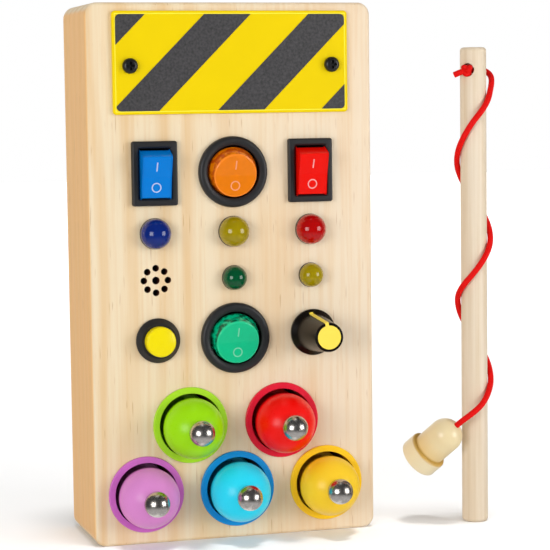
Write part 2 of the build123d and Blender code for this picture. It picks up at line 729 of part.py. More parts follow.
def button_spring():
    """A coil between the housing's floor and the cap's foot."""
    low = BUTTON_HOUSING_FLOOR + SPRING_WIRE_R
    height = BUTTON_CAP_FOOT - SPRING_WIRE_R - low
    coil = Helix(pitch=height / SPRING_TURNS, height=height, radius=SPRING_R)
    wire = Plane(origin=coil @ 0, z_dir=coil % 0) * Circle(SPRING_WIRE_R)
    return Pos(0, 0, low) * sweep(wire, path=coil, is_frenet=True)


def button_nut():
    nut = hexagon(BUTTON_NUT_AF, BEHIND_WALL - BUTTON_NUT_T, BEHIND_WALL)
    low = BEHIND_WALL - BUTTON_NUT_T - PAST
    return nut - rod(BUTTON_BODY_D / 2 + RUNNING_FIT, low, BEHIND_WALL + PAST)


def button_pins():
    pins = []
    for side in (-1, 1):
        pin = rod(BUTTON_PIN_D / 2, -BUTTON_BODY_DEPTH - BUTTON_PIN_L, -BUTTON_BODY_DEPTH)
        pins.append(Pos(side * BUTTON_PIN_SPREAD, 0, 0) * pin)
    return pins


# ---------------------------------------------------------------- knob and potentiometer
def knob_body():
    skirt_top = KNOB_GAP + KNOB_SKIRT_T
    flare_top = KNOB_GAP + KNOB_FLARE_H
    knob = turned(
        [
            (0, KNOB_GAP),
            (KNOB_SKIRT_D / 2, KNOB_GAP),
            (KNOB_SKIRT_D / 2, skirt_top),
            (KNOB_BODY_D / 2, flare_top),
            (KNOB_TOP_D / 2, KNOB_TOP),
            (0, KNOB_TOP),
        ]
    )
    knob = fillet(upper_edges(knob), KNOB_EDGE_R)
    nut_corner_r = POT_NUT_AF / 2 / cos(pi / 6)
    knob -= rod(nut_corner_r + KNOB_CLEARANCE, 0, POT_NUT_T + KNOB_CLEARANCE)
    knob -= rod(POT_BUSH_D / 2 + KNOB_CLEARANCE, 0, POT_BUSH_OUT + KNOB_CLEARANCE)
    knob -= rod(SHAFT_D / 2, 0, SHAFT_OUT)
    return knob - knob_marker()


def knob_marker():
    """The coloured disc in the knob's top, and the pointer that runs from it over the rim, down the
    knob's upper side and onto the skirt, standing a little proud."""
    top_r = KNOB_TOP_D / 2
    body_r = KNOB_BODY_D / 2
    flare_top = KNOB_GAP + KNOB_FLARE_H
    skirt_top = KNOB_GAP + KNOB_SKIRT_T
    foot_r = body_r + POINTER_REACH * (KNOB_SKIRT_D / 2 - body_r)
    foot = flare_top - POINTER_REACH * (flare_top - skirt_top)
    side = [
        (0, 0, KNOB_TOP - KNOB_DISC_T),
        (0, 0, KNOB_TOP),
        (0, top_r + POINTER_PROUD, KNOB_TOP),
        (0, body_r + POINTER_PROUD, flare_top + POINTER_PROUD),
        (0, foot_r + POINTER_PROUD, foot + POINTER_PROUD),
        (0, foot_r - POINTER_PROUD, foot - POINTER_PROUD),
        (0, body_r - POINTER_PROUD, flare_top - POINTER_PROUD),
        (0, top_r - 2 * POINTER_PROUD, KNOB_TOP - KNOB_DISC_T),
    ]
    outline = make_face(Polyline(*side, close=True))
    strip = extrude(outline, amount=POINTER_W / 2, both=True, dir=(1, 0, 0))
    return strip + rod(KNOB_DISC_D / 2, KNOB_TOP - KNOB_DISC_T, KNOB_TOP)


def pot_body():
    can = rod(POT_D / 2, BEHIND_WALL - POT_T, BEHIND_WALL)
    bore_end = BEHIND_WALL - SHAFT_FOOT - FIT
    bore = rod(SHAFT_D / 2 + RUNNING_FIT, bore_end, POT_BUSH_OUT + PAST)
    return can + rod(POT_BUSH_D / 2, BEHIND_WALL, POT_BUSH_OUT) - bore


def pot_shaft():
    return rod(SHAFT_D / 2, BEHIND_WALL - SHAFT_FOOT, SHAFT_OUT)


def pot_nut():
    bore = rod(POT_BUSH_D / 2 + RUNNING_FIT, -PAST, POT_NUT_T + PAST)
    return hexagon(POT_NUT_AF, 0, POT_NUT_T) - bore


def pot_pins():
    back = BEHIND_WALL - POT_T
    pins = []
    for step in (-1, 0, 1):
        pin = rod(POT_PIN_D / 2, back - POT_PIN_L, back)
        pins.append(Pos(step * POT_PIN_SPREAD, -POT_PIN_DROP, 0) * pin)
    return pins


# ---------------------------------------------------------------- pegs and rings
def peg_ring():
    ring = rod(RING_OUTER_D / 2, 0, RING_PROUD)
    ring = fillet(upper_edges(ring), RING_EDGE_R)
    ring += rod(RING_SLEEVE_D / 2, -RING_DEPTH, 0)
    return ring - rod(PEG_HOLE_D / 2, -RING_DEPTH - PAST, RING_PROUD + PAST)


def peg():
    """A round head on a stem, with a foot as wide as the head that slides in the hole."""
    radius = PEG_D / 2
    body = rod(radius, -PEG_DEPTH, PEG_FOOT_L - PEG_DEPTH)
    body = fillet(body.edges().filter_by(GeomType.CIRCLE), PEG_FOOT_R)
    body += rod(PEG_STEM_D / 2, -PEG_DEPTH, PEG_HEAD_OUT)
    body += Pos(0, 0, PEG_HEAD_OUT) * Sphere(radius)
    body -= Pos(0, 0, PEG_BALL_OUT) * Sphere(PEG_BALL_R + RUNNING_FIT)
    return Pos(0, -PEG_REST_DROP, 0) * body


def peg_ball():
    return Pos(0, -PEG_REST_DROP, PEG_BALL_OUT) * Sphere(PEG_BALL_R)


# ---------------------------------------------------------------- batteries
def battery_box():
    outer = block(BOX_INSIDE_W + 2 * BOX_WALL, CELLS_H + 2 * BOX_WALL, BOX_BACK, BOX_FRONT)
    return outer - block(BOX_INSIDE_W, CELLS_H, BOX_BACK - PAST, BOX_FRONT - BOX_WALL)


def battery_cells():
    cells = []
    for side in (-1, 1):
        can = Rot(0, 90, 0) * Cylinder(CELL_D / 2, CELL_L)
        nub = Rot(0, 90, 0) * Cylinder(CELL_NUB_D / 2, CELL_NUB_L)
        cell = can + Pos(side * (CELL_L + CELL_NUB_L) / 2, 0, 0) * nub
        cells.append(Pos(0, side * (CELL_D + CELL_GAP) / 2, CELL_OUT) * cell)
    return cells


def battery_contacts():
    """A flat plate at each cell's nub, and a stepped spring plate at its other end."""
    contacts = []
    end = BOX_INSIDE_W / 2
    for side in (-1, 1):
        y = side * (CELL_D + CELL_GAP) / 2
        nub_face = CELL_L / 2 + CELL_NUB_L
        flat = Box(end - nub_face, CONTACT_H, CONTACT_H)
        contacts.append(Pos(side * (end + nub_face) / 2, y, CELL_OUT) * flat)
        plate = Pos(-side * (end - CONTACT_T / 2), y, CELL_OUT) * Box(CONTACT_T, CONTACT_H, CONTACT_H)
        reach = end - CONTACT_T - CELL_L / 2
        spring = Rot(0, 90, 0) * Cone(CELL_NUB_D / 2, CELL_NUB_D, reach)
        if side > 0:
            spring = Rot(0, 0, 180) * spring
        contacts.append(plate + Pos(-side * (CELL_L / 2 + reach / 2), y, CELL_OUT) * spring)
    return contacts


def battery_door():
    door = block(DOOR_W, DOOR_H, -BOARD_T, DOOR_T - BOARD_T, DOOR_CORNER_R - FIT)
    outside = -BOARD_T - PAST
    hole = rod(DOOR_SCREW_D / 2 + FIT, outside, DOOR_T - BOARD_T + PAST)
    hole += rod(DOOR_SCREW_HEAD_D / 2 + FIT, outside, DOOR_SCREW_HEAD_H - BOARD_T)
    for x, _ in door_screw_places():
        door -= Pos(x, 0, 0) * hole
    return door


def door_screw():
    head_in = DOOR_SCREW_HEAD_H - BOARD_T
    head = rod(DOOR_SCREW_HEAD_D / 2, -BOARD_T, head_in)
    slots = cross_slot(-BOARD_T - PAST, -BOARD_T + DOOR_SCREW_HEAD_H / 2)
    return head + rod(DOOR_SCREW_D / 2, head_in, DOOR_SCREW_L - BOARD_T) - slots


# ---------------------------------------------------------------- wiring
def wire(points):
    """A wire through (x, height, out) points, with rounded corners."""
    path = FilletPolyline(*points, radius=WIRE_BEND_R)
    section = Plane(origin=path @ 0, z_dir=path % 0) * Circle(WIRE_R)
    return at_face(0, 0) * sweep(section, path=path)


def lead_out(start, lane, end):
    """From a terminal straight back to a lane, across in the lane, and forward to a board pad."""
    return wire(
        [
            start,
            (start[0], start[1], lane),
            (end[0], end[1], lane),
            (end[0], end[1], PCB_BACK),
        ]
    )


def wiring():
    wires = []
    blade_tip = -SWITCH_BODY_DEPTH - BLADE_L
    for x, z in [*RECT_SWITCHES.values(), ROUND_SWITCHES["amber"]]:
        wires.append(lead_out((x, z + BLADE_SPREAD, blade_tip), FAR_LANE, (x - PAD_SPREAD, UPPER_PADS)))
        wires.append(lead_out((x, z - BLADE_SPREAD, blade_tip), NEAR_LANE, (x + PAD_SPREAD, UPPER_PADS)))
    x, z = ROUND_SWITCHES["green"]
    wires.append(lead_out((x, z + BLADE_SPREAD, blade_tip), NEAR_LANE, (x + PAD_SPREAD, LOWER_PADS)))
    wires.append(lead_out((x, z - BLADE_SPREAD, blade_tip), FAR_LANE, (x - PAD_SPREAD, LOWER_PADS)))
    x, z = BUTTON
    pin_tip = -BUTTON_BODY_DEPTH - BUTTON_PIN_L
    pad_x = PCB_STEP_X + PAD_SPREAD
    wires.append(lead_out((x + BUTTON_PIN_SPREAD, z, pin_tip), NEAR_LANE, (pad_x, LOWER_PADS)))
    far_pad = (pad_x, LOWER_PADS + 2 * PAD_SPREAD)
    wires.append(lead_out((x - BUTTON_PIN_SPREAD, z, pin_tip), FAR_LANE, far_pad))
    x, z = KNOB
    pin_tip = BEHIND_WALL - POT_T - POT_PIN_L
    for step in (-1, 0, 1):
        along = x + step * POT_PIN_SPREAD
        wires.append(lead_out((along, z - POT_PIN_DROP, pin_tip), POT_LANE, (along, LOWER_PADS)))
    x, z = BUZZER
    tab = (BUZZER_D + BUZZER_MAGNET_D) / 4
    start_out = BEHIND_WALL - BUZZER_T
    wires.append(lead_out((x + tab, z, start_out), BUZZER_LANE, (pad_x, z + 2 * PAD_SPREAD)))
    wires.append(lead_out((x - tab, z, start_out), BUZZER_FAR_LANE, (pad_x, z + 3 * PAD_SPREAD)))
    box_bottom = BOX_Z - CELLS_H / 2 - BOX_WALL
    for side in (-1, 1):
        along = side * BATTERY_PAD_X
        wires.append(
            wire(
                [
                    (along, box_bottom, BATTERY_LEAD_OUT),
                    (along, BATTERY_PADS, BATTERY_LEAD_OUT),
                    (along, BATTERY_PADS, PCB_BACK),
                ]
            )
        )
    return wires


# ---------------------------------------------------------------- wand
def about_rod(distance, bearing, height):
    """A point round the rod: bearing in degrees from -Y towards -X."""
    turn = radians(bearing)
    return (WAND_X - distance * sin(turn), WAND_Y - distance * cos(turn), height)


def wand_rod():
    stick = rod(ROD_R, 0, ROD_L)
    stick = fillet(stick.edges().filter_by(GeomType.CIRCLE), ROD_EDGE_R)
    bore = Rot(0, 0, -ROD_HOLE_BEARING) * Rot(90, 0, 0) * Cylinder(ROD_HOLE_R, 4 * ROD_R)
    return WAND * (stick - Pos(0, 0, ROD_HOLE_HEIGHT) * bore)


def wand_knot():
    """The knot in the hole's mouth, its tail, and the cord's straight stretch through the hole."""
    mouth = about_rod(ROD_R + KNOT_OUT, ROD_HOLE_BEARING, ROD_HOLE_HEIGHT)
    far_mouth = about_rod(-ROD_R, ROD_HOLE_BEARING, ROD_HOLE_HEIGHT)
    tail_end = about_rod(ROD_R + TAIL_L, ROD_HOLE_BEARING + TAIL_TURN, ROD_HOLE_HEIGHT - TAIL_DROP)
    knot = Pos(*mouth) * Sphere(KNOT_R)
    for start, end in ((far_mouth, mouth), (mouth, tail_end)):
        run = Line(start, end)
        knot += sweep(Plane(origin=run @ 0, z_dir=run % 0) * Circle(CORD_R), path=run)
    return knot


def winding_distance():
    """Distance of the route's points from the rod's axis, so that the cord clears the rod."""
    return (ROD_R + CORD_GAP + CORD_R) / cos(pi / TURN_POINTS)


def winding():
    """The route's points round the rod, evenly spaced between the stations."""
    points = []
    for (b0, z0), (b1, z1) in zip(CORD_STATIONS, CORD_STATIONS[1:]):
        steps = round(TURN_POINTS * (b1 - b0) / 360)
        for step in range(steps):
            share = step / steps
            bearing = b0 + share * (b1 - b0)
            height = z0 + share * (z1 - z0)
            points.append(about_rod(winding_distance(), bearing, height))
    return points


def bell_point(along):
    """A point on the bell's axis, measured from its tip."""
    return tuple(tip + along * part for tip, part in zip(BELL_TIP, BELL_AXIS))


def cord_route():
    out = ROD_HOLE_BEARING - 180
    route = [about_rod(ROD_R + along, out, ROD_HOLE_HEIGHT) for along in (0, CORD_EXIT_RUN)]
    route += [about_rod(*point) for point in CORD_START]
    route += winding()
    route += [about_rod(*point) for point in CORD_END]
    return [*route, bell_point(-BELL_LEAD), bell_point(BELL_CORD_BORE)]


def corner_radii(points):
    """At each corner, 0.45 of the shorter run divided by the tangent of half the turn."""
    radii = []
    for before, corner, after in zip(points, points[1:], points[2:]):
        arriving = Vector(*corner) - Vector(*before)
        leaving = Vector(*after) - Vector(*corner)
        half_turn = radians(arriving.get_angle(leaving)) / 2
        radii.append(0.45 * min(arriving.length, leaving.length) / tan(half_turn))
    return radii


def wand_cord():
    points = cord_route()
    radii = corner_radii(points)
    path = FilletPolyline(*points, radius=radii)
    tube = sweep(Plane(origin=path @ 0, z_dir=path % 0) * Circle(CORD_R), path=path)
    ideal = pi * CORD_R**2 * path.length
    print("cord radii", [round(r, 1) for r in radii])
    print("cord length", round(path.length, 1), "volume ratio", round(tube.volume / ideal, 4))
    return tube


def bell_place():
    return Plane(origin=BELL_TIP, z_dir=BELL_AXIS).location


def wand_bell():
    """A domed pendant with a wide rim, a bore for the cord at its tip and a magnet seat at its rim."""
    bell = rod(BELL_R, BELL_R, BELL_L) + Pos(0, 0, BELL_R) * Sphere(BELL_R)
    rim = rod(BELL_RIM_R, BELL_L - BELL_RIM_L, BELL_L)
    rim = fillet(rim.edges().filter_by(GeomType.CIRCLE), BELL_EDGE_R)
    bell += rim
    bell -= rod(CORD_R + RUNNING_FIT, -PAST, BELL_CORD_BORE)
    bell -= rod(MAGNET_D / 2 + RUNNING_FIT, BELL_L - MAGNET_SUNK - MAGNET_T, BELL_L + PAST)
    return bell_place() * bell


def wand_magnet():
    return bell_place() * rod(MAGNET_D / 2, BELL_L - MAGNET_SUNK - MAGNET_T, BELL_L - MAGNET_SUNK)


# ---------------------------------------------------------------- all the nodes
def main():
    os.makedirs("parts", exist_ok=True)
    keep("board_body", board_body())
    keep("back_cover", back_cover())
    keep("back_cover_screws", *[at_face(x, z) * cover_screw() for x, z in cover_screw_places()])
    keep("hazard_plate", hazard_plate())
    keep("hazard_stripes", *hazard_stripes())
    keep("plate_screws", *[at_face(x, z) * plate_screw() for x, z in plate_screw_places()])
    for colour, place in RECT_SWITCHES.items():
        keep(f"switch_housing_{colour}", at_face(*place) * rect_housing())
        keep(f"rocker_{colour}", at_face(*place) * rect_rocker())
    for colour, place in ROUND_SWITCHES.items():
        keep(f"switch_housing_{colour}", at_face(*place) * round_housing())
        keep(f"rocker_{colour}", at_face(*place) * round_rocker())
    terminals = []
    for place in [*RECT_SWITCHES.values(), *ROUND_SWITCHES.values()]:
        terminals += [at_face(*place) * blade for blade in blade_pair()]
    terminals += [at_face(*BUTTON) * pin for pin in button_pins()]
    terminals += [at_face(*KNOB) * pin for pin in pot_pins()]
    keep("switch_terminals", *terminals)
    leads = []
    for name, (x, z, radius, centre_out) in LAMPS.items():
        keep(name, at_face(x, z) * lamp(radius, centre_out))
        leads += [at_face(x, z) * lead for lead in lamp_leads()]
    keep("led_leads", *leads)
    keep("buzzer_speaker", at_face(*BUZZER) * buzzer())
    keep("circuit_board", circuit_board())
    keep("control_chip", control_chip())
    keep("button_housing", at_face(*BUTTON) * button_housing())
    keep("button_cap", at_face(*BUTTON) * button_cap())
    keep("button_spring", at_face(*BUTTON) * button_spring())
    keep("button_nut", at_face(*BUTTON) * button_nut())
    knob_place = at_face(*KNOB) * Rot(0, 0, KNOB_TURN)
    keep("knob_body", knob_place * knob_body())
    keep("knob_marker", knob_place * knob_marker())
    keep("pot_body", at_face(*KNOB) * pot_body())
    keep("pot_shaft", at_face(*KNOB) * pot_shaft())
    keep("pot_nut", at_face(*KNOB) * pot_nut())
    for colour, place in PEGS.items():
        keep(f"ring_{colour}", at_face(*place) * peg_ring())
        keep(f"peg_{colour}", at_face(*place) * peg())
        keep(f"peg_ball_{colour}", at_face(*place) * peg_ball())
    keep("battery_box", at_face(0, BOX_Z) * battery_box())
    keep("battery_cells", *[at_face(0, BOX_Z) * cell for cell in battery_cells()])
    keep("battery_contacts", *[at_face(0, BOX_Z) * contact for contact in battery_contacts()])
    keep("battery_door", at_face(0, BOX_Z) * battery_door())
    keep("battery_door_screws", *[at_face(x, z) * door_screw() for x, z in door_screw_places()])
    keep("wiring", *wiring())
    keep("wand_rod", wand_rod())
    keep("wand_knot", wand_knot())
    keep("wand_cord", wand_cord())
    keep("wand_bell", wand_bell())
    keep("wand_magnet", wand_magnet())


main()
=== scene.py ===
import math

import bmesh
import bpy
import numpy as np
from bpy.props import FloatProperty, FloatVectorProperty, PointerProperty
from mathutils import Euler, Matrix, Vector


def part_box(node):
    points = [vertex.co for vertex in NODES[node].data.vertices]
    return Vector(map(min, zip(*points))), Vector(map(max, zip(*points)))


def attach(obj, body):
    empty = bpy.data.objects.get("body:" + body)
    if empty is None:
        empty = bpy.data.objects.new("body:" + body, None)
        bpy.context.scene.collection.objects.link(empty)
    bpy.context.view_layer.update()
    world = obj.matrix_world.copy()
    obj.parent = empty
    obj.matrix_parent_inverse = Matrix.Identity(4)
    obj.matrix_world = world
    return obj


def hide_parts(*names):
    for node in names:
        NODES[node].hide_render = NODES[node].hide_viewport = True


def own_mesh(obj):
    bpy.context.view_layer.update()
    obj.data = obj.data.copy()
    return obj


bl_info = {
    "name": "Wooden Busy Board",
    "version": (1, 0, 0),
    "blender": (4, 5, 0),
    "location": "View3D > Sidebar > Busy Board",
    "description": "Finishes and finely shaped pieces of a wooden busy board with its fishing wand",
    "category": "Add Mesh",
}

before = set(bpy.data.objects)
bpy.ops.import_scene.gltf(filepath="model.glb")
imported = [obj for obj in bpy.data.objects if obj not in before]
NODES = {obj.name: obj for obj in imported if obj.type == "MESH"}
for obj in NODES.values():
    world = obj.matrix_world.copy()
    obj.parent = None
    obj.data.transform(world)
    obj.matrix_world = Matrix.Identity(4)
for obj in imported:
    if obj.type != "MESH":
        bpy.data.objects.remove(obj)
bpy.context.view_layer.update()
MM = 0.001
CREASE = math.radians(38)   # an edge that turns more is drawn sharp
WAVE = 0.314                # metres from crest to crest of a Wave texture of scale 1
TONES = ("green", "red", "purple", "blue", "yellow")

# Sizes that the CAD source has too, in millimetres: +X right, +Z up, the front faces -Y
FRONT_Y = -18.5
WAND_X, WAND_Y = 84.0, -20.0
ROD_R = 4.4
HOLE_HEIGHT = 153.4
HOLE_BEARING = 49.0         # degrees from -Y towards -X
TURN_POINTS = 12
CORD_R = 1.0
CORD_GAP = 0.15
# The cord's bearing and height on its way round the rod, then distance, bearing and height at its ends
CORD_STATIONS = (
    (-67.8, 146.6), (22.2, 136.3), (112.2, 122.9), (292.2, 96.7), (382.2, 85.4), (472.2, 75.8), (652.2, 48.5)
)
CORD_START = ((7.4, -121.0, 153.0), (7.6, -106.0, 151.6), (6.7, -88.0, 149.5))
CORD_END = ((5.7, -67.8, 48.5), (5.7, -37.0, 44.9), (6.6, -5.0, 41.3), (8.6, 24.0, 38.5))
BELL_TIP = np.array((75.2, -25.6, 34.1))
BELL_AXIS = np.array((-0.488, 0.589, -0.644))
BELL_L = 20.0
SPRING_R, SPRING_WIRE_R, SPRING_TURNS = 3.0, 0.3, 5
ROCKER_TILT = math.radians(13)
ROCKER_PIVOT = 1.0          # behind the face
CREST_OUT, CREST_Y, HOLLOW = 5.45, 6.85, 0.45


# -------------------- colours and properties
def linear(code):
    """The linear red, green, blue and alpha of an sRGB hex code."""
    parts = [int(code[i : i + 2], 16) / 255 for i in (0, 2, 4)]
    curve = [p / 12.92 if p <= 0.04045 else ((p + 0.055) / 1.055) ** 2.4 for p in parts]
    return (*curve, 1.0)


def colour(name, description, code):
    """A colour property with its default from an sRGB hex code."""
    return FloatVectorProperty(
        name=name, description=description, subtype="COLOR", size=4, min=0, max=1, default=linear(code)
    )


def length(name, description, millimetres):
    """A length property with its default in millimetres."""
    return FloatProperty(
        name=name, description=description, default=millimetres * MM, min=0, unit="LENGTH", precision=5
    )


class BusyWand(bpy.types.PropertyGroup):
    cord: colour("Cord", "Red of the elastic cord", "F20A04")
    cord_shade: colour("Cord shade", "Red between the cord's strands", "C80402")
    rod: colour("Rod", "Pale wood of the rod", "E5D5BE")
    rod_grain: colour("Rod grain", "Darker grain of the rod", "DAC5A6")
    bell: colour("Bell", "Cream of the pendant", "EAD8AC")
    bell_shade: colour("Bell shade", "Cream where the moulding is thicker", "E6C98C")
    # The groove's deeper tone is painted shade, and the rim's paler tone painted light
    bell_groove_shade: colour("Bell groove", "Deeper tone above the rim", "C2983E")
    bell_rim_light: colour("Bell rim", "Paler tone of the rim", "EEE0BC")
    braid: length("Braid relief", "Height of the cord's strands", 0.03)


class BusyBoard(bpy.types.PropertyGroup):
    pale: colour("Early wood", "Pale part of each ring", "E8D5B4")
    dark: colour("Late wood", "Darker part of each ring", "DDB57C")
    # The left side's tone is partly the side grain's own colour and partly painted shade
    side: colour("Left side", "Deeper tone of the left side", "F2B86E")
    pink: colour("Pink cast", "Tone that the board drifts to at its right", "EBD8C3")
    fleck: colour("Fleck", "Short resin flecks", "B98A55")
    # The hole walls' colour is partly scorch and partly painted shade
    burnt_and_shade: colour("Burnt wood", "Walls of the drilled holes", "5A2A18")
    ring: length("Ring spacing", "Distance between growth rings", 5.0)


class BusyPlate(bpy.types.PropertyGroup):
    yellow: colour("Yellow", "Yellow of the plate and its sticker", "EACC00")
    # The sticker edge colour is a painted highlight along the sticker's edge
    pale: colour("Sticker edge", "Pale line round the sticker", "FCEB48")
    stripe: colour("Stripe", "Charcoal of the stripes", "565456")
    screw: colour("Screw", "Black oxide of the screws", "1B1B1D")
    edge: length("Sticker edge width", "Width of the pale line round the sticker", 0.3)


class BusySwitches(bpy.types.PropertyGroup):
    black: colour("Housing", "Black of the switch housings", "242426")
    blue: colour("Blue rocker", "Opaque blue", "0078D0")
    red: colour("Red rocker", "Opaque red", "E80C00")
    amber: colour("Amber rocker", "Translucent amber", "EE7E00")
    green: colour("Green rocker", "Translucent green", "00C48A")
    # The skirt colours are painted shade: the tint as light through thick clear plastic would deepen it
    amber_deep: colour("Amber skirt", "Amber where it is seen through its thickness", "BC4A04")
    green_deep: colour("Green skirt", "Green where it is seen through its thickness", "035A3C")
    mark: colour("Marks", "Printed I and O", "F4F6F6")
    inner_bevel: length("Inner bevel", "Bevel round each opening", 0.5)
    rim_radius: length("Rim radius", "Rounding of each rocker's edges", 0.4)


class BusyLamps(bpy.types.PropertyGroup):
    blue: colour("Blue lamp", "Clear blue epoxy", "0A2678")
    yellow: colour("Yellow lamp", "Clear yellow epoxy", "A08C04")
    red: colour("Red lamp", "Clear red epoxy", "B40404")
    green: colour("Green lamp", "Clear green epoxy", "00502C")


class BusyControls(bpy.types.PropertyGroup):
    cap: colour("Button", "Yellow of the push button", "F0DC00")
    knob: colour("Knob", "Black of the knob", "130E0A")
    knob_mark: colour("Knob disc", "Yellow of the knob's disc and pointer", "FDE04A")


class BusyPegs(bpy.types.PropertyGroup):
    ring_green: colour("Green ring", "Ring of the green peg", "ACE02A")
    ring_red: colour("Red ring", "Ring of the red peg", "E41C38")
    ring_purple: colour("Purple ring", "Ring of the purple peg", "CC6CC4")
    ring_blue: colour("Blue ring", "Ring of the blue peg", "0C90DA")
    ring_yellow: colour("Yellow ring", "Ring of the yellow peg", "FFD020")
    green: colour("Green peg", "Painted head", "9CDF04")
    red: colour("Red peg", "Painted head", "F80A02")
    purple: colour("Purple peg", "Painted head", "DC8ACE")
    blue: colour("Blue peg", "Painted head", "28DEFC")
    yellow: colour("Yellow peg", "Painted head", "FFD22A")


class BusyStage(bpy.types.PropertyGroup):
    floor: colour("Floor", "Pale floor", "F4F4F4")
    card: colour("Card", "Dark card that shiny pieces mirror", "464648")
    card_low: colour("Card foot", "Its lighter foot", "C4C4C6")
    key_power: FloatProperty(
        name="Right light", description="Power of the right softbox", default=4.35, min=0, subtype="POWER"
    )
    fill_power: FloatProperty(
        name="Left light", description="Power of the left softbox", default=4.65, min=0, subtype="POWER"
    )
    floor_power: FloatProperty(
        name="Floor light", description="Strength of the lamp that lights the floor alone", default=1.4, min=0
    )
    sky: FloatProperty(
        name="Sky", description="Light that the plain world sheds", default=0.57, min=0, subtype="FACTOR"
    )


# -------------------- node trees
def add(tree, kind, inputs=None, **settings):
    """Adds a node with its own settings and its sockets' values, each a value or the socket that feeds
    it, and gives its outputs. Every Mix node blends the colours at sockets 6 and 7 into output 2."""
    node = tree.nodes.new(f"ShaderNode{kind}")
    if kind == "Mix":
        node.data_type = "RGBA"
    for name, value in settings.items():
        if name == "stops":
            ramp = node.color_ramp.elements
            while len(ramp) < len(value):
                ramp.new(0.5)
            for stop, (at, shade) in zip(ramp, value):
                stop.position = at
                stop.color = shade
        else:
            setattr(node, name, value)
    for name, value in (inputs or {}).items():
        socket = node.inputs[name]
        if isinstance(value, bpy.types.NodeSocket):
            tree.links.new(value, socket)
        else:
            socket.default_value = tuple(value) if hasattr(value, "__len__") else value
    return node.outputs


def start(name):
    """A new material, its emptied tree, and the object coordinates that its patterns follow."""
    made = bpy.data.materials.new(name)
    made.use_nodes = True
    made.node_tree.nodes.clear()
    return made, made.node_tree, add(made.node_tree, "TexCoord")["Object"]


def end(tree, sockets, height=None, relief=0):
    """A principled shader from its sockets by name, whose height stands relief mm proud, and the output."""
    if height is not None:
        bump = add(tree, "Bump", {"Height": height, "Distance": relief * MM})
        sockets = {**sockets, "Normal": bump["Normal"]}
    surface = add(tree, "BsdfPrincipled", sockets)
    add(tree, "OutputMaterial", {"Surface": surface["BSDF"]})


def coated(name, tint, shade, spot, rough, grain, relief, over=None, **shader):
    """A plain-coloured finish: its colour drifts from tint to shade over spots of that many
    millimetres, its roughness drifts with the finer grain, which also stands relief mm proud, and
    over, where it is given, lays more on the colour."""
    made, tree, place = start(name)
    drift = add(tree, "TexNoise", {"Vector": place, "Scale": 1 / (spot * MM), "Detail": 3})["Fac"]
    fine = add(tree, "TexNoise", {"Vector": place, "Scale": 1 / (grain * MM), "Detail": 2})["Fac"]
    tone = add(tree, "Mix", {0: drift, 6: tint, 7: shade})[2]
    end(tree, {
        "Base Color": over(tree, place, tone) if over else tone,
        "Roughness": add(tree, "MapRange", {"Value": fine, "To Min": rough[0], "To Max": rough[1]})[0],
        **{key.replace("_", " "): value for key, value in shader.items()},
    }, fine, relief)
    return made


def darker(tone, share):
    """The colour with each part times share."""
    return (*[share * part for part in tone[:3]], 1.0)


# -------------------- surfaces
def at_face(x, z, points):
    """Points given right, up and out from a place on the front face, in the row frame's millimetres."""
    points = np.asarray(points, float)
    return np.stack([x + points[..., 0], FRONT_Y - points[..., 2], z + points[..., 1]], axis=-1)


def arc(centre, radius, first, last, steps=8):
    """Points of an arc from the first to the last angle a in degrees: centre + radius (cos a, sin a)."""
    turn = np.radians(np.linspace(first, last, steps + 1))
    return [(centre[0] + radius * c, centre[1] + radius * s) for c, s in zip(np.cos(turn), np.sin(turn))]


def turned(profile):
    """Rows for stacked() from a profile of radius and height out: all circles."""
    return [(radius, radius, radius, out) for radius, out in profile]


def stacked(rows, around=96):
    """A grid of points: each row (half width, half height, corner radius, height out) is a rounded
    rectangle, x = +-(w - r) + r cos t, y = +-(h - r) + r sin t, with the same number of points, so a
    row with all three equal is a circle."""
    w, h, r, out = (np.asarray(part, float)[:, None] for part in zip(*rows))
    turn = (np.arange(around) + 0.5) * 2 * math.pi / around
    side_x = np.sign(np.cos(turn))
    side_y = np.sign(np.sin(turn))
    x = side_x * (w - r) + r * np.cos(turn)
    y = side_y * (h - r) + r * np.sin(turn)
    return np.stack([x, y, out + np.zeros_like(x)], axis=-1)


def tube(line, radius, around=24, relief=None):
    """A grid of points round a line of points: line + radius (side cos t + over sin t), where side
    is level and square to the line and over is square to both; the ends are closed to points."""
    line = np.asarray(line, float)
    along = np.gradient(line, axis=0)
    along /= np.linalg.norm(along, axis=1, keepdims=True)
    side = np.cross(along, (0.0, 0.0, 1.0))
    side /= np.linalg.norm(side, axis=1, keepdims=True)
    over = np.cross(side, along)
    turn = np.arange(around) * 2 * math.pi / around
    reach = np.broadcast_to(np.asarray(radius, float), (len(line), around)).copy()
    if relief is not None:
        reach += relief(np.arange(len(line))[:, None], turn[None, :])
    ring = side[:, None] * np.cos(turn)[None, :, None] + over[:, None] * np.sin(turn)[None, :, None]
    wall = line[:, None] + reach[..., None] * ring
    cap = np.ones((1, around, 1))
    return np.concatenate([line[0] * cap, wall, line[-1] * cap])


def rounded(corners, radii, steps=6):
    """A closed outline whose corners are replaced by arcs tangent to both of their sides."""
    corners = np.asarray(corners, float)
    before, after = np.roll(corners, 1, axis=0) - corners, np.roll(corners, -1, axis=0) - corners
    before /= np.linalg.norm(before, axis=1, keepdims=True)
    after /= np.linalg.norm(after, axis=1, keepdims=True)
    half = np.arccos(np.sum(before * after, axis=1)) / 2
    radii = np.asarray(radii, float)
    inward = before + after
    inward /= np.linalg.norm(inward, axis=1, keepdims=True)
    centres = corners + inward * (radii / np.sin(half))[:, None]
    reach = (radii / np.tan(half))[:, None]
    first = corners + before * reach - centres
    last = corners + after * reach - centres
    open_angle = math.pi - 2 * half
    share = np.linspace(0, 1, steps + 1)[None, :, None]
    bend = open_angle[:, None, None]
    arcs = (np.sin((1 - share) * bend) * first[:, None] + np.sin(share * bend) * last[:, None]) / np.sin(bend)
    return (centres[:, None] + arcs).reshape(-1, 2)


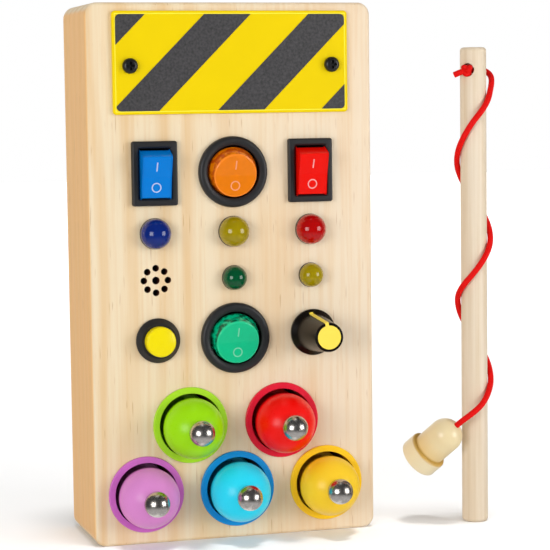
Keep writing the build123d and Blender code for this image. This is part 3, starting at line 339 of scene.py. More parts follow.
def slab(outline, half, radius, steps=6):
    """A grid of points: a closed outline in (y, z) carried along x from -half to half, drawn in
    along its own normals by radius (1 - cos a) over the last radius of each end, and closed there."""
    side = np.roll(outline, -1, axis=0) - np.roll(outline, 1, axis=0)
    normal = np.stack([side[:, 1], -side[:, 0]], axis=1)
    normal /= np.linalg.norm(normal, axis=1, keepdims=True)
    turn = np.linspace(math.pi / 2, 0, steps + 1)
    x = np.concatenate([-half + radius - radius * np.sin(turn), half - radius + radius * np.sin(turn[::-1])])
    inset = np.concatenate([radius - radius * np.cos(turn), (radius - radius * np.cos(turn))[::-1]])
    rows = outline[None] - inset[:, None, None] * normal[None]
    wall = np.concatenate([np.broadcast_to(x[:, None, None], (*rows.shape[:2], 1)), rows], axis=2)
    centre = outline.mean(axis=0)
    caps = [np.broadcast_to((tip, *centre), (1, len(outline), 3)) for tip in (-half, half)]
    return np.concatenate([caps[0], wall, caps[1]])


def tipped(points):
    """Points of a rocker's own frame, right, up and out from its pivot, as it rests at its O end: turned
    by the tilt about the line to the right, and set back by the pivot's depth."""
    x, y, z = np.moveaxis(np.asarray(points, float), -1, 0)
    c, s = math.cos(ROCKER_TILT), math.sin(ROCKER_TILT)
    return np.stack([x, y * c - z * s, y * s + z * c - ROCKER_PIVOT], axis=-1)


def face_out(y):
    """Height of a rocker's shallow V face at y up it: crest - hollow (1 - sqrt(y y + r r) / crest's y),
    where r rounds the foot of the V."""
    r = 0.3
    return CREST_OUT - HOLLOW * (1 - np.hypot(y, r) / CREST_Y)


def piece(name, body, grids, finish, stands_for=()):
    """A mesh from grids of points in millimetres, closed round each row, whose seams and poles are
    merged; it is shaded smooth except at its creases, and rides on a body."""
    vertices, faces, first = [], [], 0
    for grid in grids:
        rows, around = grid.shape[:2]
        index = first + np.arange(rows * around).reshape(rows, around)
        step = np.roll(index, -1, axis=1)
        faces.append(np.stack([index[:-1], step[:-1], step[1:], index[1:]], axis=-1).reshape(-1, 4))
        vertices.append(grid.reshape(-1, 3) * MM)
        first += rows * around
    mesh = bpy.data.meshes.new(name)
    mesh.from_pydata(np.concatenate(vertices), [], np.concatenate(faces))
    work = bmesh.new()
    work.from_mesh(mesh)
    bmesh.ops.remove_doubles(work, verts=work.verts, dist=2e-7)
    bmesh.ops.recalc_face_normals(work, faces=work.faces)
    work.to_mesh(mesh)
    work.free()
    mesh.shade_smooth()
    mesh.set_sharp_from_angle(angle=CREASE)
    mesh.materials.append(finish)
    made = bpy.data.objects.new(name, mesh)
    bpy.context.scene.collection.objects.link(made)
    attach(made, body)
    if stands_for:
        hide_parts(*stands_for)
    return made


def dress(finish, *names):
    """Gives CAD nodes a material."""
    for name in names:
        data = NODES[name].data
        data.materials.clear()
        data.materials.append(finish)


def middle(node):
    """The middle of a CAD node's box on the front face, in millimetres: right and up."""
    low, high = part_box(node)
    return (low.x + high.x) / 2 / MM, (low.z + high.z) / 2 / MM


# -------------------- wand
def about_rod(distance, bearing, height):
    """A point round the rod, its bearing in degrees from -Y towards -X."""
    turn = math.radians(bearing)
    return (WAND_X - distance * math.sin(turn), WAND_Y - distance * math.cos(turn), height)


def cord_route():
    """The cord's route: out of the hole's far mouth, round the rod and into the bell."""
    out = HOLE_BEARING - 180
    route = [about_rod(ROD_R + along, out, HOLE_HEIGHT) for along in (0, 1.72)]
    route += [about_rod(*point) for point in CORD_START]
    distance = (ROD_R + CORD_GAP + CORD_R) / math.cos(math.pi / TURN_POINTS)
    for (b0, z0), (b1, z1) in zip(CORD_STATIONS, CORD_STATIONS[1:]):
        steps = round(TURN_POINTS * (b1 - b0) / 360)
        for share in np.arange(steps) / steps:
            route.append(about_rod(distance, b0 + share * (b1 - b0), z0 + share * (z1 - z0)))
    route += [about_rod(*point) for point in CORD_END]
    return np.array([*route, BELL_TIP - 2.4 * BELL_AXIS, BELL_TIP + 2.5 * BELL_AXIS])


def cord_line():
    """The smooth line that has the route's points as its control points, in metres."""
    route = cord_route() * MM
    curve = bpy.data.curves.new("cord_route", "CURVE")
    curve.dimensions = "3D"
    curve.resolution_u = 12
    spline = curve.splines.new("NURBS")
    spline.points.add(len(route) - 1)
    spline.points.foreach_set("co", np.column_stack([route, np.ones(len(route))]).ravel())
    spline.order_u = 3
    spline.use_endpoint_u = True
    holder = bpy.data.objects.new("cord_route", curve)
    read = bpy.data.meshes.new_from_object(holder)
    line = np.empty(3 * len(read.vertices))
    read.vertices.foreach_get("co", line)
    bpy.data.meshes.remove(read)
    bpy.data.objects.remove(holder)
    bpy.data.curves.remove(curve)
    return line.reshape(-1, 3)


class BUSY_OT_wand(bpy.types.Operator):
    """Makes the braided cord and its knot, and gives the rod, the bell and its magnet their finishes."""

    bl_idname = "busy.wand"
    bl_label = "Wand"

    def execute(self, context):
        p = context.scene.busy_wand

        # Elastic cord: tight crossing strands that catch the light in rows. Real strands are about half as
        # wide as the 0.45 mm drawn, which is as coarse as they need to show
        elastic, tree, place = start("elastic_cord")
        width = 0.4545 * MM
        strand = add(tree, "TexNoise", {"Vector": place, "Scale": 1 / width, "Detail": 2})["Fac"]
        tone = add(tree, "Mix", {0: strand, 6: p.cord, 7: p.cord_shade})[2]
        rough = add(tree, "MapRange", {"Value": strand, "To Min": 0.5, "To Max": 0.75})[0]
        end(tree, {"Base Color": tone, "Roughness": rough, "Specular IOR Level": 0.15})

        line = cord_line()

        def strands(row, turn):
            """Relief of four strands that wind each way: sin(4 t + s) sin(4 t - s), where s grows by rows."""
            slope = row * 0.9
            return 0.5 * p.braid / MM * np.sin(4 * turn + slope) * np.sin(4 * turn - slope)

        cord = piece("wand_cord_braid", "wand", [tube(line / MM, CORD_R - 0.01, 32, strands)],
                     elastic, ["wand_cord"])
        piece("wand_knot_loops", "wand", self.knot(), elastic, ["wand_knot"])

        # Birch rod: fine straight grain along its length
        made, tree, place = start("birch_rod")
        drawn = add(tree, "Mapping", {"Vector": place, "Scale": (1, 1, 0.02)})[0]
        grain = {"Vector": drawn, "Scale": 1 / (1.43 * MM), "Detail": 4, "Roughness": 0.6}
        grain = add(tree, "TexNoise", grain)["Fac"]
        tone = add(tree, "ValToRGB", {"Fac": grain}, stops=[(0.35, p.rod), (0.7, p.rod_grain)])["Color"]
        end(tree, {"Base Color": tone, "Roughness": 0.55}, grain, 0.03)
        dress(made, "wand_rod")

        # Cream moulded plastic, by its share down the axis: painted light makes its thin rim paler, and painted
        # shade makes the groove above it deeper
        made, tree, place = start("cream_plastic")
        down = add(tree, "VectorMath", {0: place, 1: BELL_TIP * MM}, operation="SUBTRACT")["Vector"]
        down = add(tree, "VectorMath", {0: down, 1: BELL_AXIS}, operation="DOT_PRODUCT")["Value"]
        down = add(tree, "Math", {0: down, 1: BELL_L * MM}, operation="DIVIDE")[0]
        bands = [(0.4, p.bell), (0.65, p.bell_shade), (0.69, p.bell_groove_shade), (0.71, p.bell_groove_shade),
                 (0.74, p.bell_rim_light)]
        body = add(tree, "ValToRGB", {"Fac": down}, stops=bands)["Color"]
        drift = add(tree, "TexNoise", {"Vector": place, "Scale": 1 / (9.1 * MM), "Detail": 3})["Fac"]
        share = add(tree, "MapRange", {"Value": drift, "To Max": 0.25})[0]
        tone = add(tree, "Mix", {0: share, 6: body, 7: p.bell_shade})[2]
        fine = add(tree, "TexNoise", {"Vector": place, "Scale": 1 / (0.8 * MM), "Detail": 2})["Fac"]
        rough = add(tree, "MapRange", {"Value": fine, "To Min": 0.26, "To Max": 0.34})[0]
        end(tree, {"Base Color": tone, "Roughness": rough, "Coat Weight": 0.2, "Coat Roughness": 0.12},
            fine, 0.004)
        dress(made, "wand_bell")
        # Nickel-plated magnet: bright metal with faint blotches
        dress(coated("nickel", linear("C9C6BF"), linear("B9B5AC"), 2, (0.15, 0.3), 0.3, 0.002, Metallic=1.0),
              "wand_magnet")
        return {"FINISHED"}

    def knot(self):
        """Tubes of the overhand knot, a trefoil (sin t + 2 sin 2t, cos t - 2 cos 2t, -sin 3t) in the
        hole's mouth, of its short tail, and of the straight run through the hole."""
        mouth = np.array(about_rod(ROD_R + 0.2, HOLE_BEARING, HOLE_HEIGHT))
        outward = mouth - np.array((WAND_X, WAND_Y, HOLE_HEIGHT))
        outward /= np.linalg.norm(outward)
        level, up = np.cross(outward, (0.0, 0.0, 1.0)), np.array((0.0, 0.0, 1.0))
        t = np.linspace(0, 2 * math.pi, 97)[:, None]
        reach, depth, slim = 0.47, 0.75, 0.82
        loop = (
            mouth
            + reach * (np.sin(t) + 2 * np.sin(2 * t)) * level
            + reach * (np.cos(t) - 2 * np.cos(2 * t)) * up
            - depth * np.sin(3 * t) * outward
        )
        share = np.linspace(0, 1, 17)[:, None]
        tail_end = np.array(about_rod(ROD_R + 3.3, HOLE_BEARING + 28, HOLE_HEIGHT - 1.6))
        tail = mouth + share * (tail_end - mouth) + np.sin(share * math.pi) * 0.35 * outward
        far = np.array(about_rod(-ROD_R, HOLE_BEARING, HOLE_HEIGHT))
        through = mouth + share * (far - mouth)
        return [tube(loop, slim), tube(tail, CORD_R), tube(through, CORD_R)]


# -------------------- board
class BUSY_OT_board(bpy.types.Operator):
    """Gives the board its pine, whose rings lie round a pith behind it, and its hole walls, dark
    with the drill's scorch and with painted shade.
    """

    bl_idname = "busy.board"
    bl_label = "Board"

    def execute(self, context):
        p = context.scene.busy_board
        low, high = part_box("board_body")

        # Sanded pine: soft growth rings, long fibres, a few resin flecks, hole walls dark with the drill's
        # scorch and with painted shade
        made, tree, place = start("sanded_pine")
        # Rings round a pith 34 mm to the right and 75 mm behind the board's middle. They wander by up to
        # 22 mm over every 38 mm, and eight times as slowly along the grain
        drawn = add(tree, "Mapping", {"Vector": place, "Scale": (1, 1, 0.12)})[0]
        sway = add(tree, "TexNoise", {"Vector": drawn, "Scale": 1 / (38.46 * MM), "Detail": 2})["Color"]
        bend = add(tree, "VectorMath", {0: sway, "Scale": 22 * MM}, operation="SCALE")["Vector"]
        bent = add(tree, "VectorMath", {0: place, 1: bend}, operation="ADD")["Vector"]
        centred = add(tree, "Mapping", {"Vector": bent, "Location": (-34 * MM, -75 * MM, 0)})[0]
        rings = {"Vector": centred, "Scale": WAVE / p.ring, "Distortion": 1.2, "Detail": 1, "Detail Scale": 0.3}
        rings = add(tree, "TexWave", rings, wave_type="RINGS", rings_direction="Z")["Fac"]
        wide = add(tree, "TexNoise", {"Vector": drawn, "Scale": 1 / (22.2 * MM), "Detail": 1})["Fac"]
        late = add(tree, "Math", {0: rings, 1: wide}, operation="MULTIPLY")[0]
        latest = {"Value": late, "From Min": 0.1, "From Max": 0.55, "To Max": 0.6}
        share = add(tree, "MapRange", latest)[0]
        wood = add(tree, "Mix", {0: share, 6: p.pale, 7: p.dark})[2]

        # Deeper tone on the left side's last 0.6 mm, partly the side grain's own colour and partly painted
        # shade of that side, and a pink cast that grows to the right
        across = add(tree, "SeparateXYZ", {"Vector": place})["X"]
        side_tone_and_shade = {"From Min": low.x + 0.6 * MM, "From Max": low.x + 0.1 * MM, "To Max": 0.85}
        rightward = {"From Min": -20 * MM, "From Max": 50 * MM, "To Max": 0.55}
        for reach, tone in ((side_tone_and_shade, p.side), (rightward, p.pink)):
            share = add(tree, "MapRange", {"Value": across, **reach})[0]
            wood = add(tree, "Mix", {0: share, 6: wood, 7: tone})[2]

        # Long fibres 1.1 mm apart, and short flecks 0.5 mm across
        fine = add(tree, "Mapping", {"Vector": place, "Scale": (1, 1, 0.03)})[0]
        fibre = add(tree, "TexNoise", {"Vector": fine, "Scale": 1 / (1.111 * MM), "Detail": 3})["Fac"]
        short = add(tree, "Mapping", {"Vector": place, "Scale": (1, 1, 0.06)})[0]
        sparse = add(tree, "TexNoise", {"Vector": short, "Scale": 1 / (0.5 * MM), "Detail": 0})["Fac"]
        streak = {"Value": fibre, "From Min": 0.42, "From Max": 0.72, "To Max": 0.36}
        fleck = {"Value": sparse, "From Min": 0.74, "From Max": 0.82, "To Max": 0.5}
        for reach, tone in ((streak, p.dark), (fleck, p.fleck)):
            share = add(tree, "MapRange", reach)[0]
            wood = add(tree, "Mix", {0: share, 6: wood, 7: tone})[2]

        # Whatever lies inside the board's box is a cut wall; its rounded edges reach 2.2 mm in
        half = (high - low) / 2 - Vector((2.2, 0.05, 2.2)) * MM     # the front and the back are flat
        reach = add(tree, "VectorMath", {0: place, 1: (low + high) / 2}, operation="SUBTRACT")["Vector"]
        reach = add(tree, "VectorMath", {0: reach}, operation="ABSOLUTE")["Vector"]
        spare = add(tree, "VectorMath", {0: half, 1: reach}, operation="SUBTRACT")["Vector"]
        spare = add(tree, "SeparateXYZ", {"Vector": spare})
        least = add(tree, "Math", {0: spare["X"], 1: spare["Y"]}, operation="MINIMUM")[0]
        least = add(tree, "Math", {0: least, 1: spare["Z"]}, operation="MINIMUM")[0]
        inside = add(tree, "Math", {0: least, 1: 0.0}, operation="GREATER_THAN")[0]
        # Every cut wall takes the dark colour: partly the drill's scorch, partly painted shade deep in the
        # holes
        wood = add(tree, "Mix", {0: inside, 6: wood, 7: p.burnt_and_shade})[2]

        rough = add(tree, "MapRange", {"Value": fibre, "To Min": 0.5, "To Max": 0.65})[0]
        end(tree, {"Base Color": wood, "Roughness": rough}, fibre, 0.03)
        dress(made, "board_body")
        return {"FINISHED"}


# -------------------- plate
class BUSY_OT_plate(bpy.types.Operator):
    """Gives the warning plate, its stripes and its screws their finishes."""

    bl_idname = "busy.plate"
    bl_label = "Warning plate"

    def execute(self, context):
        p = context.scene.busy_plate
        low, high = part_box("hazard_stripes")

        def line(tree, place, tone):
            """Draws the pale line, a painted highlight on the sticker's edge, from 0.1 to 1.1 of its width past
            that edge.
            """
            past = add(tree, "VectorMath", {0: place, 1: (low + high) / 2}, operation="SUBTRACT")["Vector"]
            past = add(tree, "VectorMath", {0: past}, operation="ABSOLUTE")["Vector"]
            past = add(tree, "VectorMath", {0: past, 1: (high - low) / 2}, operation="SUBTRACT")["Vector"]
            past = add(tree, "SeparateXYZ", {"Vector": past})
            past = add(tree, "Math", {0: past["X"], 1: past["Z"]}, operation="MAXIMUM")[0]
            near = add(tree, "Math", {0: past, 1: 0.6 * p.edge, 2: 0.5 * p.edge}, operation="COMPARE")[0]
            return add(tree, "Mix", {0: near, 6: tone, 7: p.pale})[2]

        # Satin yellow paint: an even tone, with a painted highlight, a pale line, where the sticker ends
        dress(coated("yellow_paint", p.yellow, darker(p.yellow, 0.95), 12, (0.26, 0.34), 0.7, 0.004, line,
                     Specular_IOR_Level=0.12), "hazard_plate")
        # Textured vinyl: fine leathery mottling that greys the black, drawn at 0.5 mm so that it shows
        dress(coated("charcoal_vinyl", p.stripe, darker(p.stripe, 0.02), 0.8, (0.4, 0.6), 0.5, 0.05),
              "hazard_stripes")
        # Black-oxide steel: dark with a soft sheen
        dress(coated("black_oxide", p.screw, darker(p.screw, 0.7), 0.6, (0.3, 0.4), 0.2, 0.004), "plate_screws")
        return {"FINISHED"}


# -------------------- switches
class BUSY_OT_switches(bpy.types.Operator):
    """Makes the four rocker switches: bevelled housings, rounded rockers and their printed marks."""

    bl_idname = "busy.switches"
    bl_label = "Rocker switches"

    def execute(self, context):
        p = context.scene.busy_switches
        # Matt black nylon: fine spark-eroded grain
        nylon = coated("black_nylon", p.black, darker(p.black, 0.75), 3, (0.4, 0.52), 0.15, 0.006)
        bevel, edge = p.inner_bevel / MM, p.rim_radius / MM
        proud, end_out, well = 2, -12, -7.5     # heights out of the bezel, the housing's end and its well

        # Rectangular switches: the rocker's side view, up and out, and half sizes of the housing
        outline = rounded(
            [(-7.8, 0.4), (-CREST_Y, CREST_OUT), (0, CREST_OUT - HOLLOW), (CREST_Y, CREST_OUT),
             (7.8, 0.4), (3, -2.2), (-3, -2.2)],
            [0.4, 0.5, 6.0, 0.5, 0.4, 0.6, 0.6],
        )
        neck, bezel, mouth = (6.6, 9.6), (7.5, 10.45), (5.3, 8.2)
        rows = [(0, 0, 0, end_out), (*neck, 0.3, end_out), (*neck, 0.3, 0), (*bezel, 0.8, 0)]
        for inset, out in arc((0.6, proud - 0.6), -0.6, 0, -90, 6):
            rows.append((bezel[0] - inset, bezel[1] - inset, 0.8 - inset, out))
        rows += [(mouth[0] + bevel, mouth[1] + bevel, 0.5, proud), (*mouth, 0.3, proud - bevel)]
        rows += [(*mouth, 0.3, well), (0, 0, 0, well)]
        for tone, ink_share in (("blue", 0.5), ("red", 0.4)):
            # Opaque moulded rocker: glossy with a faint flow pattern
            tint = getattr(p, tone)
            opaque = coated(f"{tone}_plastic", tint, darker(tint, 0.93), 5, (0.2, 0.26), 0.4, 0.002,
                            Specular_IOR_Level=0.2)
            self.switch(p, tone, stacked(rows), nylon, slab(outline, 4.9, edge), opaque, ink_share)

        # Round switches: turned profiles of radius and height out; the rocker's top is then drawn down to a V
        neck, bezel, mouth, skirt, crown = 9.95, 11.6, 8.7, 8.35, 7.15
        profile = [(0, end_out), (neck, end_out), (neck, 0), (bezel, 0)]
        profile += arc((bezel - 1.2, proud - 1.2), 1.2, 0, 90, 10)
        profile += [(mouth + 1.3 * bevel, proud), (mouth, proud - bevel), (mouth, well), (0, well)]
        top = [(0, -2.2), (3, -2.2), (skirt, 0.4), (crown + 0.04, CREST_OUT - edge)]
        top += arc((crown - edge, CREST_OUT - edge), edge, 12, 90, 8)
        top += [(r, CREST_OUT) for r in np.linspace(crown - 2 * edge, 0, 14)]
        rocker = stacked(turned(top))
        lift = np.clip((rocker[..., 2] - 3) / (CREST_OUT - 3), 0, 1)
        rocker[..., 2] -= lift * (CREST_OUT - face_out(rocker[..., 1]))
        for tone, ink_share in (("amber", 0.17), ("green", 0.2)):
            clear = self.tinted(tone, getattr(p, tone), getattr(p, f"{tone}_deep"))
            self.switch(p, tone, stacked(turned(profile)), nylon, rocker, clear, ink_share)
        return {"FINISHED"}

    def switch(self, p, tone, housing, nylon, rocker, finish, ink_share):
        """A housing, its rocker at rest, and the I and the O: thin skins that follow the rocker's face,
        printed in ink that lets 1 - ink_share of the rocker's colour through."""
        x, z = middle(f"switch_housing_{tone}")
        piece(f"housing_{tone}", "board", [at_face(x, z, housing)], nylon,
              [f"switch_housing_{tone}"])
        piece(f"rocker_{tone}_body", f"{tone}_rocker", [at_face(x, z, tipped(rocker))], finish,
              [f"rocker_{tone}"])

        mixed = [ink_share * ink + (1 - ink_share) * below for ink, below in zip(p.mark, getattr(p, tone))]
        ink = coated(f"{tone}_ink", mixed, darker(mixed, 0.93), 1.5, (0.4, 0.5), 0.3, 0.002)
        under, over = -0.04, 0.03               # below and above the face
        bar_up, ring_down, slant = 3.5, 3.4, 0.05
        bar = stacked([(0, 0, 0, under), (0.2, 1.5, 0.18, under), (0.2, 1.5, 0.18, over), (0, 0, 0, over)], 48)
        bar[..., 0] += slant * bar[..., 1]
        bar[..., 1] += bar_up
        ring = stacked(turned([(1.25, under), (1.62, under), (1.62, over), (1.25, over), (1.25, under)]), 64)
        ring[..., 1] -= ring_down
        for name, mark in (("on", bar), ("off", ring)):
            mark[..., 2] += face_out(mark[..., 1])
            piece(f"mark_{name}_{tone}", f"{tone}_rocker", [at_face(x, z, tipped(mark))], ink)

    def tinted(self, tone, tint, deep):
        """Tinted clear plastic: a bright face whose lighter rim is a painted highlight, and a streaked skirt
        whose deeper tone is painted shade of light lost through the thick plastic, told apart by height out and
        radius in the rocker's own frame, which is (place - pivot) turned back by its tilt."""
        made, tree, place = start(f"clear_{tone}")
        x, z = middle(f"switch_housing_{tone}")
        pivot = Vector((x, FRONT_Y + ROCKER_PIVOT, z)) * MM
        near = add(tree, "VectorMath", {0: place, 1: pivot}, operation="SUBTRACT")["Vector"]
        level = add(tree, "Mapping", {"Vector": near, "Rotation": (-ROCKER_TILT, 0, 0)})[0]
        parts = add(tree, "SeparateXYZ", {"Vector": level})
        flat = add(tree, "CombineXYZ", {"X": parts["X"], "Y": parts["Z"]})[0]
        radius = add(tree, "VectorMath", {0: flat}, operation="LENGTH")["Value"]
        # The skirt turns to face from 4.6 to 5.0 mm out, and the face to rim from 6.6 to 7.0 mm off the axis
        facing = {"Value": parts["Y"], "From Min": -4.6 * MM, "From Max": -5.0 * MM}
        out = add(tree, "MapRange", facing)[0]
        rim = add(tree, "MapRange", {"Value": radius, "From Min": 6.6 * MM, "From Max": 7.0 * MM})[0]

        cloud = add(tree, "TexNoise", {"Vector": place, "Scale": 1 / (1.786 * MM), "Detail": 4})["Fac"]
        streak = add(tree, "MapRange", {"Value": cloud, "From Min": 0.44, "From Max": 0.58})[0]
        # Painted shade: the skirt in the deeper tone of light lost through the thick plastic
        skirt = add(tree, "Mix", {0: streak, 6: deep, 7: darker(tint, 0.9)})[2]
        face = add(tree, "Mix", {0: cloud, 6: tint, 7: darker(tint, 0.85)})[2]
        # Painted highlight: the rim round the face drawn lighter
        lit = (*[min(1.0, 1.12 * part + 0.02) for part in tint[:3]], 1.0)
        face = add(tree, "Mix", {0: rim, 6: face, 7: lit})[2]
        body = add(tree, "Mix", {0: out, 6: skirt, 7: face})[2]
        rough = add(tree, "MapRange", {"Value": cloud, "To Min": 0.1, "To Max": 0.2})[0]
        end(tree, {"Base Color": body, "Roughness": rough, "Transmission Weight": 0.04,
                   "Specular IOR Level": 0.25, "Coat Weight": 0.3, "Coat Roughness": 0.06})
        return made


# -------------------- lamps
class BUSY_OT_lamps(bpy.types.Operator):
    """Gives the five lamps their tinted epoxy."""

    bl_idname = "busy.lamps"
    bl_label = "Lamps"

    def execute(self, context):
        p = context.scene.busy_lamps
        for tone, nodes in (("blue", ["led_blue"]), ("yellow", ["led_yellow", "led_small_yellow"]),
                            ("red", ["led_red"]), ("green", ["led_small_green"])):
            tint = getattr(p, tone)

            def foot(tree, place, body):
                """Darkens the lamp where it is less than 1.6 mm out of the wood, most from 0.5 mm down:
                painted shade round its foot.
                """
                depth = add(tree, "SeparateXYZ", {"Vector": place})["Y"]
                low = {"Value": depth, "From Min": (FRONT_Y - 1.6) * MM, "From Max": (FRONT_Y - 0.5) * MM}
                return add(tree, "Mix", {0: add(tree, "MapRange", low)[0], 6: body, 7: darker(tint, 0.12)})[2]

            # Tinted epoxy: a dark body under a hard clear skin, with painted shade darkest at its foot in the
            # wood
            dress(coated(f"{tone}_epoxy", tint, darker(tint, 0.8), 3.03, (0.07, 0.12), 0.588, 0.001, foot,
                         Specular_IOR_Level=0.3, Coat_Weight=0.3, Coat_Roughness=0.04), *nodes)
        return {"FINISHED"}


# -------------------- button and knob
class BUSY_OT_controls(bpy.types.Operator):
    """Makes the push button's spring, and gives the button and the knob their finishes."""

    bl_idname = "busy.controls"
    bl_label = "Button and knob"

    def execute(self, context):
        p = context.scene.busy_controls
        # Matt black nylon of the button's bezel
        dress(coated("button_nylon", linear("242426"), linear("1A1A1C"), 3, (0.38, 0.5), 0.15, 0.006),
              "button_housing", "button_nut")
        # Glossy yellow cap
        dress(coated("yellow_cap", p.cap, darker(p.cap, 0.94), 4, (0.2, 0.26), 0.5, 0.003,
                     Specular_IOR_Level=0.25), "button_cap")
        # Semi-gloss black phenolic: soft grey reflections
        dress(coated("black_phenolic", p.knob, darker(p.knob, 0.8), 3, (0.22, 0.3), 0.3, 0.003,
                     Specular_IOR_Level=0.18), "knob_body")
        # Satin yellow disc
        dress(coated("knob_yellow", p.knob_mark, darker(p.knob_mark, 0.95), 3, (0.4, 0.5), 0.4, 0.003),
              "knob_marker")
        # Plated spring wire: bright with fine drawing marks
        self.coil(coated("spring_wire", linear("C4C4C6"), linear("A8A8AC"), 1.5, (0.22, 0.36), 0.2, 0.004,
                         Metallic=1.0))
        return {"FINISHED"}

    def coil(self, finish):
        """The button's return spring: a circle of wire radius w carried round a helix, at
        (R + w cos a) (cos t, sin t) across and rise(t) + w sin a along."""
        x, z = middle("button_spring")
        low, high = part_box("button_spring")
        back, front = high.y / MM - SPRING_WIRE_R, low.y / MM + SPRING_WIRE_R
        steps, sides = 24, 12           # in each turn, and round the wire
        turn = np.linspace(0, 2 * math.pi * SPRING_TURNS, steps * SPRING_TURNS + 1)[:, None]
        around = np.arange(sides) * 2 * math.pi / sides
        rise = back + (front - back) * turn / turn[-1]
        rows = []
        for w in (0.0, SPRING_WIRE_R, 0.0):
            reach, along = SPRING_R + w * np.cos(around), rise + w * np.sin(around)
            rows.append(np.stack([x + reach * np.cos(turn), along, z + reach * np.sin(turn)], axis=-1))
        wire = np.concatenate([rows[0][:1], rows[1], rows[2][-1:]])
        coil = piece("button_coil", "board", [wire], finish, ["button_spring"])
        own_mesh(coil)


# -------------------- pegs
class BUSY_OT_pegs(bpy.types.Operator):
    """Gives the painted pegs, their steel balls and the rings round them their finishes."""

    bl_idname = "busy.pegs"
    bl_label = "Pegs and rings"

    def execute(self, context):
        p = context.scene.busy_pegs
        # Ball-bearing steel, a little dulled by handling: soft windows on silver grey
        dress(coated("ball_steel", linear("E4E0DA"), linear("BAB2AA"), 1.5, (0.22, 0.3), 0.5, 0.003,
                     Metallic=1.0), *[f"peg_ball_{tone}" for tone in TONES])
        for tone in TONES:
            # Glossy moulded ring
            tint = getattr(p, f"ring_{tone}")
            dress(coated(f"{tone}_ring", tint, darker(tint, 0.93), 4, (0.2, 0.28), 0.4, 0.003,
                         Specular_IOR_Level=0.3), f"ring_{tone}")
            # Spray-painted head: a broad soft gloss
            tint = getattr(p, tone)
            dress(coated(f"{tone}_paint", tint, darker(tint, 0.94), 5, (0.25, 0.32), 0.5, 0.004,
                         Specular_IOR_Level=0.28), f"peg_{tone}")
        return {"FINISHED"}


# -------------------- inside and back
class BUSY_OT_inside(bpy.types.Operator):
    """Gives the back cover, the battery box and the electric parts their finishes."""

    bl_idname = "busy.inside"
    bl_label = "Inside and back"

    def execute(self, context):
        # Birch plywood: flat pale veneer with long soft streaks
        made, tree, place = start("birch_plywood")
        drawn = add(tree, "Mapping", {"Vector": place, "Scale": (1, 1, 0.06)})[0]
        grain = add(tree, "TexNoise", {"Vector": drawn, "Scale": 1 / (3.85 * MM), "Detail": 4})["Fac"]
        veneer = [(0.3, linear("E3C795")), (0.75, linear("C9A46C"))]
        tone = add(tree, "ValToRGB", {"Fac": grain}, stops=veneer)["Color"]
        end(tree, {"Base Color": tone, "Roughness": 0.6}, grain, 0.04)
        dress(made, "back_cover")
        # Plain finishes: two tones, spots in mm, roughness, grain and relief in mm, metal or not, nodes
        for name, tint, shade, spot, rough, grain, relief, metal, nodes in (
            # Zinc-plated steel: pale metal with a fine scratch
            ("zinc", "C8C8CC", "AEB0B4", 1.2, (0.25, 0.4), 0.15, 0.004, 1.0,
             ["back_cover_screws", "battery_door_screws", "battery_contacts"]),
            # Tinned brass: a warmer pale metal
            ("tinned", "D2CCBC", "BDB39A", 1.5, (0.25, 0.4), 0.2, 0.004, 1.0,
             ["switch_terminals", "led_leads"]),
            # Nickel-plated steel: an even grey shine
            ("plated_steel", "BEBEC0", "A4A4A8", 2, (0.22, 0.36), 0.2, 0.004, 1.0,
             ["pot_body", "pot_shaft", "pot_nut"]),
            # Moulded black plastic: matt, with a fine texture
            ("black_box", "222224", "17171A", 3, (0.4, 0.55), 0.2, 0.01, 0.0,
             ["buzzer_speaker", "control_chip", "battery_box", "battery_door"]),
            # Solder mask: smooth green lacquer
            ("solder_mask", "1B6A3C", "14532F", 3, (0.22, 0.34), 0.3, 0.006, 0.0, ["circuit_board"]),
            # Shrink sleeve of the cells: plain grey film with a soft gloss
            ("cell_sleeve", "5B5F66", "4A4D53", 6, (0.28, 0.38), 0.4, 0.004, 0.0, ["battery_cells"]),
            # Silicone wire sleeve: matt red
            ("silicone_wire", "C02020", "A01818", 3, (0.45, 0.6), 0.3, 0.006, 0.0, ["wiring"]),
        ):
            made = coated(name, linear(tint), linear(shade), spot, rough, grain, relief, Metallic=metal)
            dress(made, *nodes)
        return {"FINISHED"}


